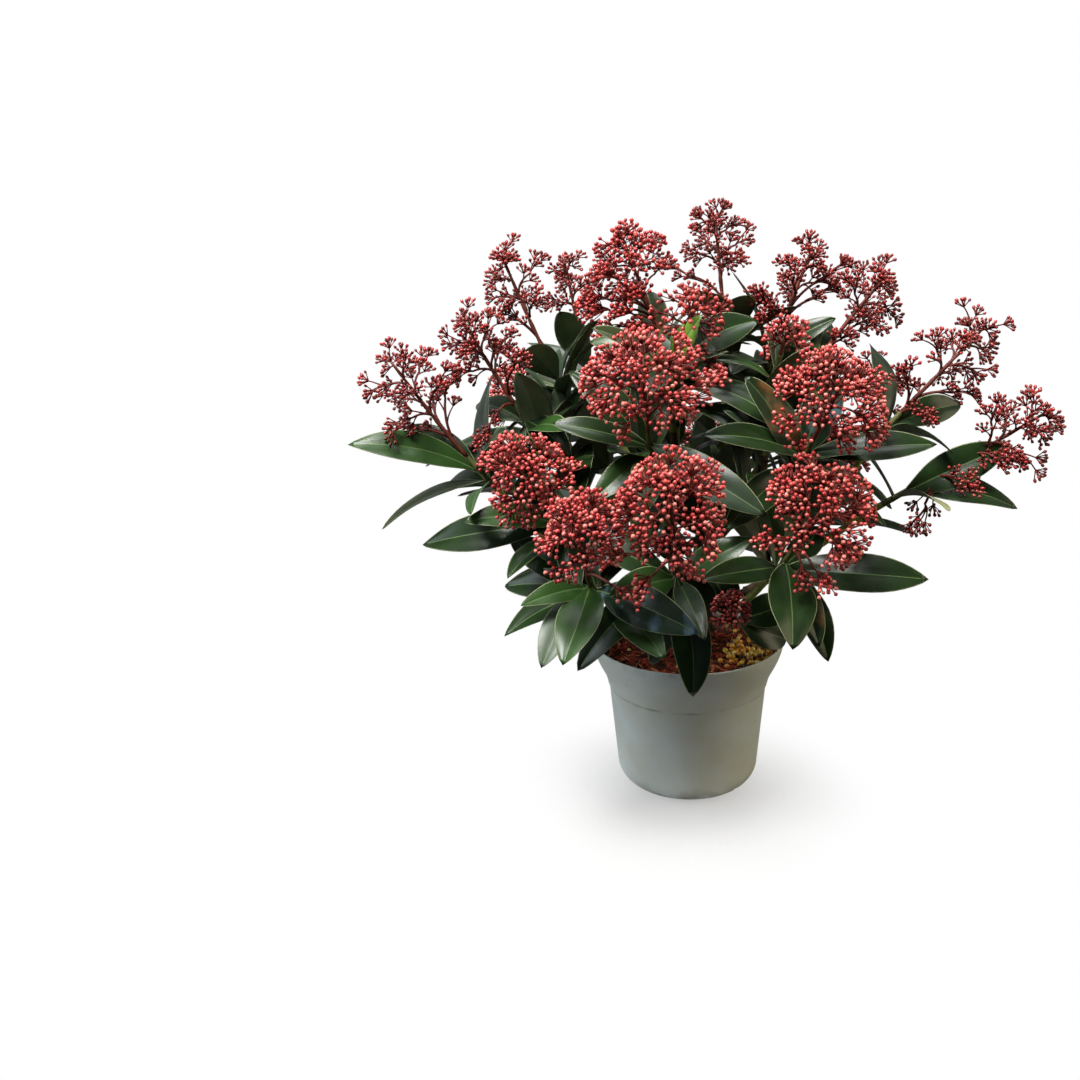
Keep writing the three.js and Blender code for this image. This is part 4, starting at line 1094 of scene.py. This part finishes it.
def leaf_places(shoot, arrive):
    """The whorl: leading leaves first, then the rest at the golden angle, the lowest
    wide open and the upper ones closing round the stem."""
    draw = chance(2000 + SHOOTS.index(shoot))
    whorl = Vector(shoot.whorl)
    axis = head_axis(shoot)
    across = frame_across(axis)
    outward = Vector((whorl.x, whorl.y, 0)).normalized()
    face_to = axis + UP * 0.6 + outward * 0.6
    places = []
    for i, (bearing, rise, length, width, to_front, *tone) in enumerate(shoot.leaves):
        base = whorl - arrive * (2.6 * i + 1)
        turned = face_to + FRONT * to_front
        direction = bearing_rise(bearing, rise)
        places.append(Leaf(base, direction, length, width, turned, shoot, True, tone[0] if tone else None))
    leading = [leaf.direction for leaf in places]
    spin = math.tau * draw()
    for i in range(MOST_TURNS):
        if len(places) >= shoot.in_whorl:
            break
        lift = math.radians(-8 + 44 * draw())
        size = LEAF_LENGTH * (0.72 + 0.34 * draw()) * (SMALL_SHARE if shoot.spread < SMALL_HEAD else 1)
        direction = around(across, spin + i * GOLDEN) * math.cos(lift) + axis * math.sin(lift)
        direction = (direction - UP * 0.12).normalized()
        direction.z = max(direction.z, LOWEST_RISE)
        direction.normalize()
        if any(other.angle(direction) < LEAST_ANGLE for other in leading):
            continue
        base = whorl - arrive * (2.3 * len(places) + 1)
        places.append(Leaf(base, direction, size, WIDTH_SHARE * size, face_to, shoot, False, None))
    return places


def lower_leaves(shoot, bough):
    """The older leaves that stand singly down the bough, below the whorl."""
    draw = chance(4000 + SHOOTS.index(shoot))
    spin = math.tau * draw()
    places = []
    for i in range(shoot.singles):
        share = 0.98 - (0.98 - LOWER_FROM) * (i + draw()) / shoot.singles
        base = on_way(bough.way, share)
        stem = along_way(bough.way, share)
        lift = math.radians(15 + 35 * draw())
        outward = around(frame_across(stem), spin + i * GOLDEN)
        direction = outward * math.cos(lift) + stem * math.sin(lift)
        direction.z = max(direction.z, FRONT_RISE if base.y < -20 else LOWEST_RISE)
        direction.normalize()
        size = LEAF_LENGTH * (0.66 + 0.34 * draw())
        if base.y < 0 and base.z < OPEN_FOOT:
            continue
        width = 1.08 * WIDTH_SHARE * size
        places.append(Leaf(base, direction, size, width, stem + UP * 0.8, shoot, False, None))
    return places


def half_width(share, width):
    """The blade's outline: a stalk, widest a little past the middle, and a pointed tip."""
    blade = np.sin(np.pi * np.clip(share, 0, 1) ** 1.05) ** 0.72
    blade *= np.minimum(1, np.maximum(share, 0.001) / 0.3) ** 0.3
    return np.maximum(width / 2 * blade, STALK_WIDTH / 2 * np.minimum(1, (1 - share) * 8))


def midrib_of(leaf, direction, size):
    tip = leaf.base + direction * leaf.length * size
    normal = (leaf.face_to - direction * leaf.face_to.dot(direction)).normalized()
    crest = leaf.base.lerp(tip, 0.5) + normal * 2 * BOW * leaf.length * size
    return tip, normal, crest


def arch(shares, base, crest, tip):
    """Points along the midrib, at these shares of the way to the tip."""
    from_base, to_tip = (1 - shares) ** 2, shares**2
    return np.outer(from_base, base) + np.outer(2 * shares * (1 - shares), crest) + np.outer(to_tip, tip)


# The rows of a blade, closer together towards its stalk and its tip.
even_rows = np.linspace(0, 1, ROWS)
close_rows = (1 - np.cos(even_rows * math.pi * 0.94)) / (1 - math.cos(math.pi * 0.94))
row_shares = (0.35 * close_rows + 0.65 * even_rows)[:-1]


def blade(leaf, direction, size, draw):
    """The leaf's skin: rings of ten points above and six below, from the stalk to the tip."""
    tip, normal, crest = midrib_of(leaf, direction, size)
    shares = row_shares
    sag = 0.05 * (2 * draw() - 1) * leaf.length
    wave, phase = 0.035 * leaf.width * (0.4 + draw()), 6.28 * draw()
    twist = 0.5 * (draw() - 0.5)
    sideways = np.array(direction.cross(normal))
    centre = arch(shares, leaf.base, crest, tip) + np.outer(np.sin(np.pi * shares) * sag, sideways)
    along = unit_rows(np.gradient(centre, axis=0))
    rise = unit_rows(np.cross(sideways, along))
    turn = (twist * shares)[:, None]
    across = sideways * np.cos(turn) + rise * np.sin(turn)
    across = unit_rows(across - along * (across * along).sum(axis=1)[:, None])
    rise = np.cross(across, along)
    wide = half_width(shares, leaf.width)
    rib = np.minimum(MIDRIB * (1.15 - 0.6 * shares), 0.3 * wide)
    rim = wide - np.minimum(MARGIN, 0.3 * wide)
    top = [rib, 0.28 * wide, 0.6 * wide, rim, wide]
    under = [0.82 * wide, 0.42 * wide, 1.2 * rib]
    x = np.stack([*(-x for x in top[::-1]), *top, *under, *(-x for x in under[::-1])], axis=1)
    part = np.abs(x) / np.maximum(wide, 0.01)[:, None]
    ripple = wave * np.sin(9 * shares + phase)[:, None] * np.sign(x) * part**2
    z = FOLD * np.abs(x) * (1.15 - 0.55 * part**2) + ripple
    z[:, RIB_COLUMN:RIB_COLUMN + 2] -= RIB_SUNK
    z[:, TOP_COLUMNS:] -= LEAF_THICKNESS * (1 - 0.5 * part[:, TOP_COLUMNS:] ** 2)
    z[:, TOP_COLUMNS + 2:TOP_COLUMNS + 4] -= (0.75 - 0.5 * shares)[:, None]
    rings = centre[:, None] + across[:, None] * x[:, :, None] + rise[:, None] * z[:, :, None]
    return np.concatenate([rings.reshape(-1, 3), np.array([leaf.base, tip])])


RING = TOP_COLUMNS + UNDER_COLUMNS
blade_triangles = tube_triangles(len(row_shares), RING)
columns = blade_triangles % RING
first_column = columns.min(axis=1)
above = columns.max(axis=1) - first_column != RING - 1
on_top = above & (first_column < TOP_COLUMNS - 1)
on_margin = (above & (first_column == 0)) | (first_column == TOP_COLUMNS - 2)
on_midrib = first_column == RIB_COLUMN

LEAF_TONES = {  # blade, its clouds, roughness, the noise that starts and fills a cloud
    "blade_deep": ((22, 38, 16), (30, 50, 20), 0.3, 0.35, 0.7),
    "blade_mid": ((34, 58, 22), (42, 70, 28), 0.32, 0.35, 0.7),
    "blade_olive": ((40, 48, 23), (52, 60, 30), 0.36, 0.35, 0.7),
    "blade_dusky": ((38, 50, 36), (50, 64, 48), 0.3, 0.35, 0.7),
    # dark green with bluish-grey clouds of painted sheen, a painted reflection on the glossy blade
    "blade_blue": ((26, 42, 28), (70, 92, 102), 0.22, 0.5, 0.66),
    "blade_grey": ((60, 74, 56), (78, 92, 74), 0.35, 0.35, 0.7),
    "blade_pale": ((112, 116, 74), (136, 136, 96), 0.45, 0.35, 0.7),
    "blade_young": ((104, 150, 44), (124, 168, 58), 0.4, 0.35, 0.7),
    "blade_bronzed": ((26, 42, 22), (100, 68, 34), 0.28, 0.5, 0.66),
    "leaf_margin": ((110, 118, 84), (128, 132, 98), 0.5, 0.35, 0.7),
    "leaf_midrib": ((66, 88, 48), (80, 100, 58), 0.45, 0.35, 0.7),
    "leaf_under": ((88, 102, 74), (102, 116, 88), 0.6, 0.35, 0.7),
}
BLADE_MIX = ["deep"] * 6 + ["mid"] * 3 + ["dusky"] * 2 + ["olive"]
leaf_finishes = []
for name, (tone, other, roughness, start, full) in LEAF_TONES.items():
    pattern = (70, start, full, 1500, 2)
    skin = clouded(name, tint(*tone), tint(*other), pattern, roughness, 0.3, (0.12, 0.0003))
    leaf_finishes.append(skin)
leaf_number = {name: i for i, name in enumerate(LEAF_TONES)}

TRIES = [  # degrees to swing a leaf aside and up, and its size, until it has room
    (0, 0, 1), (0, 14, 1), (0, -14, 1), (16, 0, 1), (-16, 0, 1), (0, 8, 0.75), (0, -8, 0.75),
    (24, 10, 0.8), (-24, 10, 0.8), (12, -20, 0.7), (-12, 24, 0.7),
]
obstacles = []  # a place, how near a leaf may come, and the shoot's number
for number, shoot in enumerate(SHOOTS):
    obstacles += [(*point, 3.0, number) for point in boughs[shoot.name].way[::4]]
    obstacles += [(*cluster.centre, cluster.radius + 1, number) for cluster in clusters[shoot.name]]
obstacles = np.array(obstacles)


def samples_of(leaf, direction, size):
    """Points all over a blade, each with its shoot's number and its share of the way to the tip."""
    tip, normal, crest = midrib_of(leaf, direction, size)
    shares = np.linspace(0.12, 1, 11)
    middle = arch(shares, leaf.base, crest, tip)
    wide = 0.75 * (half_width(shares, leaf.width)[:, None] * np.array(direction.cross(normal)))
    points = np.concatenate([middle, middle + wide, middle - wide])
    owner = np.full(len(points), SHOOTS.index(leaf.shoot))
    return np.column_stack([points, owner, np.tile(shares, 3)])


def crowding(samples, taken):
    """How many of a leaf's sample points come too near to wood, buds or other leaves."""
    points, owner, shares = samples[:, None, :3], samples[0, 3], samples[:, None, 4]
    near = np.linalg.norm(points - obstacles[None, :, :3], axis=2) < obstacles[:, 3]
    near &= ~((obstacles[:, 4] == owner) & (shares < 0.3))
    close = np.linalg.norm(points - taken[None, :, :3], axis=2) < LEAF_ROOM
    close &= ~((taken[:, 3] == owner) & ((shares < 0.4) | (taken[:, 4] < 0.4)))
    return near.any(axis=1).sum() + close.any(axis=1).sum()


draw = chance(91)
leaf_parts = []
taken = np.zeros((0, 5))
places = [leaf for shoot in SHOOTS for leaf in leaf_places(shoot, boughs[shoot.name].arrive)]
places.sort(key=lambda leaf: not leaf.leading)
places += [leaf for shoot in SHOOTS for leaf in lower_leaves(shoot, boughs[shoot.name])]
for leaf in places:
    across = leaf.direction.cross(leaf.face_to).normalized()
    best = None
    for swing, rise_by, size in TRIES:
        direction = leaf.direction.copy()
        direction.rotate(Matrix.Rotation(math.radians(rise_by), 3, across))
        direction.rotate(Matrix.Rotation(math.radians(swing), 3, UP))
        samples = samples_of(leaf, direction, size)
        count = crowding(samples, taken)
        if best is None or count < best[0]:
            best = (count, direction, size, samples)
        if count == 0:
            break
    count, direction, size, samples = best
    if count > (NEAR_LEADING if leaf.leading else NEAR_OTHER):
        continue
    taken = np.concatenate([taken, samples])
    tone = leaf.tone or BLADE_MIX[int(draw() * len(BLADE_MIX))]
    numbers = np.full(len(blade_triangles), leaf_number["leaf_under"])
    numbers[on_top] = leaf_number[f"blade_{tone}"]
    numbers[on_midrib] = leaf_number["leaf_midrib"]
    numbers[on_margin] = leaf_number["leaf_margin"]
    leaf_parts.append((blade(leaf, direction, size, draw), blade_triangles, numbers))
joined("leaves", leaf_parts, leaf_finishes, all_shoots)


# ---------- the floor and the light ----------
# A plain pale table in a bright white studio. Round the pot lies a painted shadow: the
# table is seen darker than the white backdrop and grows clear further out, and its glow
# for the camera keeps the lamps' own shadows on it faint. One large soft lamp stands
# above the camera's left, with weaker ones at both sides and behind.

TABLE_GLOW = 0.42  # how much the table shines for the camera alone
TABLE_SEEN = 0.28
TABLE_BOUNCE = 0.68  # its tone for all other light
# The painted shadow round the pot: near this point, a little in front of the pot, the table is seen darker
# than the white backdrop, and it grows clear between these distances.
SHADE_MIDDLE = (-0.002, -0.031, 0)
SHADE_FROM = 0.005
SHADE_TO = 0.135
LAMPS = [  # name, place, side of its square, power, colour
    ("key", (-0.42, -0.62, 1.75), 0.6, 62, (1, 0.985, 0.965)),
    ("side", (-1.3, -0.2, 0.5), 0.8, 8, (0.84, 0.95, 1)),
    ("warm", (1.3, -0.1, 0.6), 1.0, 9.5, (1, 0.88, 0.6)),
    ("top", (0.0, 0.8, 1.6), 1.0, 20, (0.97, 0.98, 1)),
]
LAMPS_FACE = Vector((0, 0, 0.2))
WINDOW = (-0.6, 0.6, 0.5)  # the room is brightest to the left and behind, and dark in front
DIM_SIDE = 0.02
BRIGHT_SIDE = 0.42

floor_bm = bmesh.new()
bmesh.ops.create_grid(floor_bm, x_segments=1, y_segments=1, size=4)
floor = placed("floor", mesh_of("floor", floor_bm))
white_table, table = finish("white_table", [TABLE_SEEN] * 3, 0.8, 0.1)
tree = white_table.node_tree
place = node(tree, "ShaderNodeTexCoord").outputs["Object"]
from_middle = node(tree, "ShaderNodeVectorMath", {0: place, 1: SHADE_MIDDLE}, operation="DISTANCE")
painted_shadow = ramp(
    tree, from_middle.outputs["Value"], SHADE_FROM, SHADE_TO, 1.0, 0.0, interpolation_type="SMOOTHSTEP"
)
to_camera = node(tree, "ShaderNodeLightPath").outputs["Is Camera Ray"]
tree.links.new(painted_shadow, table["Alpha"])
tree.links.new(blend(tree, to_camera, [TABLE_BOUNCE] * 3, [TABLE_SEEN] * 3), table["Base Color"])
tree.links.new(maths(tree, "MULTIPLY", to_camera, TABLE_GLOW), table["Emission Strength"])
table["Emission Color"].default_value = (1, 1, 1, 1)
floor.data.materials.append(white_table)

for name, lamp_place, side_length, power, colour in LAMPS:
    lamp_data = bpy.data.lights.new(name, "AREA")
    lamp_data.size = side_length
    lamp_data.energy = power
    lamp_data.color = colour
    turned = (LAMPS_FACE - Vector(lamp_place)).to_track_quat("-Z", "Y").to_matrix().to_4x4()
    placed(name, lamp_data).matrix_world = Matrix.Translation(lamp_place) @ turned

world = bpy.data.worlds.new("studio")
world.use_nodes = True
bpy.context.scene.world = world
room = world.node_tree
sky = room.nodes["Background"]
sky.inputs["Color"].default_value = (0.95, 0.98, 1, 1)
way_out = node(room, "ShaderNodeTexCoord").outputs["Generated"]
heading = node(room, "ShaderNodeVectorMath", {0: way_out, 1: WINDOW}, operation="DOT_PRODUCT")
brightness = ramp(room, heading.outputs["Value"], -0.5, 0.7, DIM_SIDE, BRIGHT_SIDE)
room.links.new(brightness, sky.inputs["Strength"])
backdrop = node(room, "ShaderNodeBackground", {"Color": [1.0, 1.0, 1.0], "Strength": 1.0})
to_camera = node(room, "ShaderNodeLightPath").outputs["Is Camera Ray"]
seen = node(room, "ShaderNodeMixShader", {0: to_camera, 1: sky.outputs[0], 2: backdrop.outputs[0]})
room.links.new(seen.outputs[0], room.nodes["World Output"].inputs["Surface"])
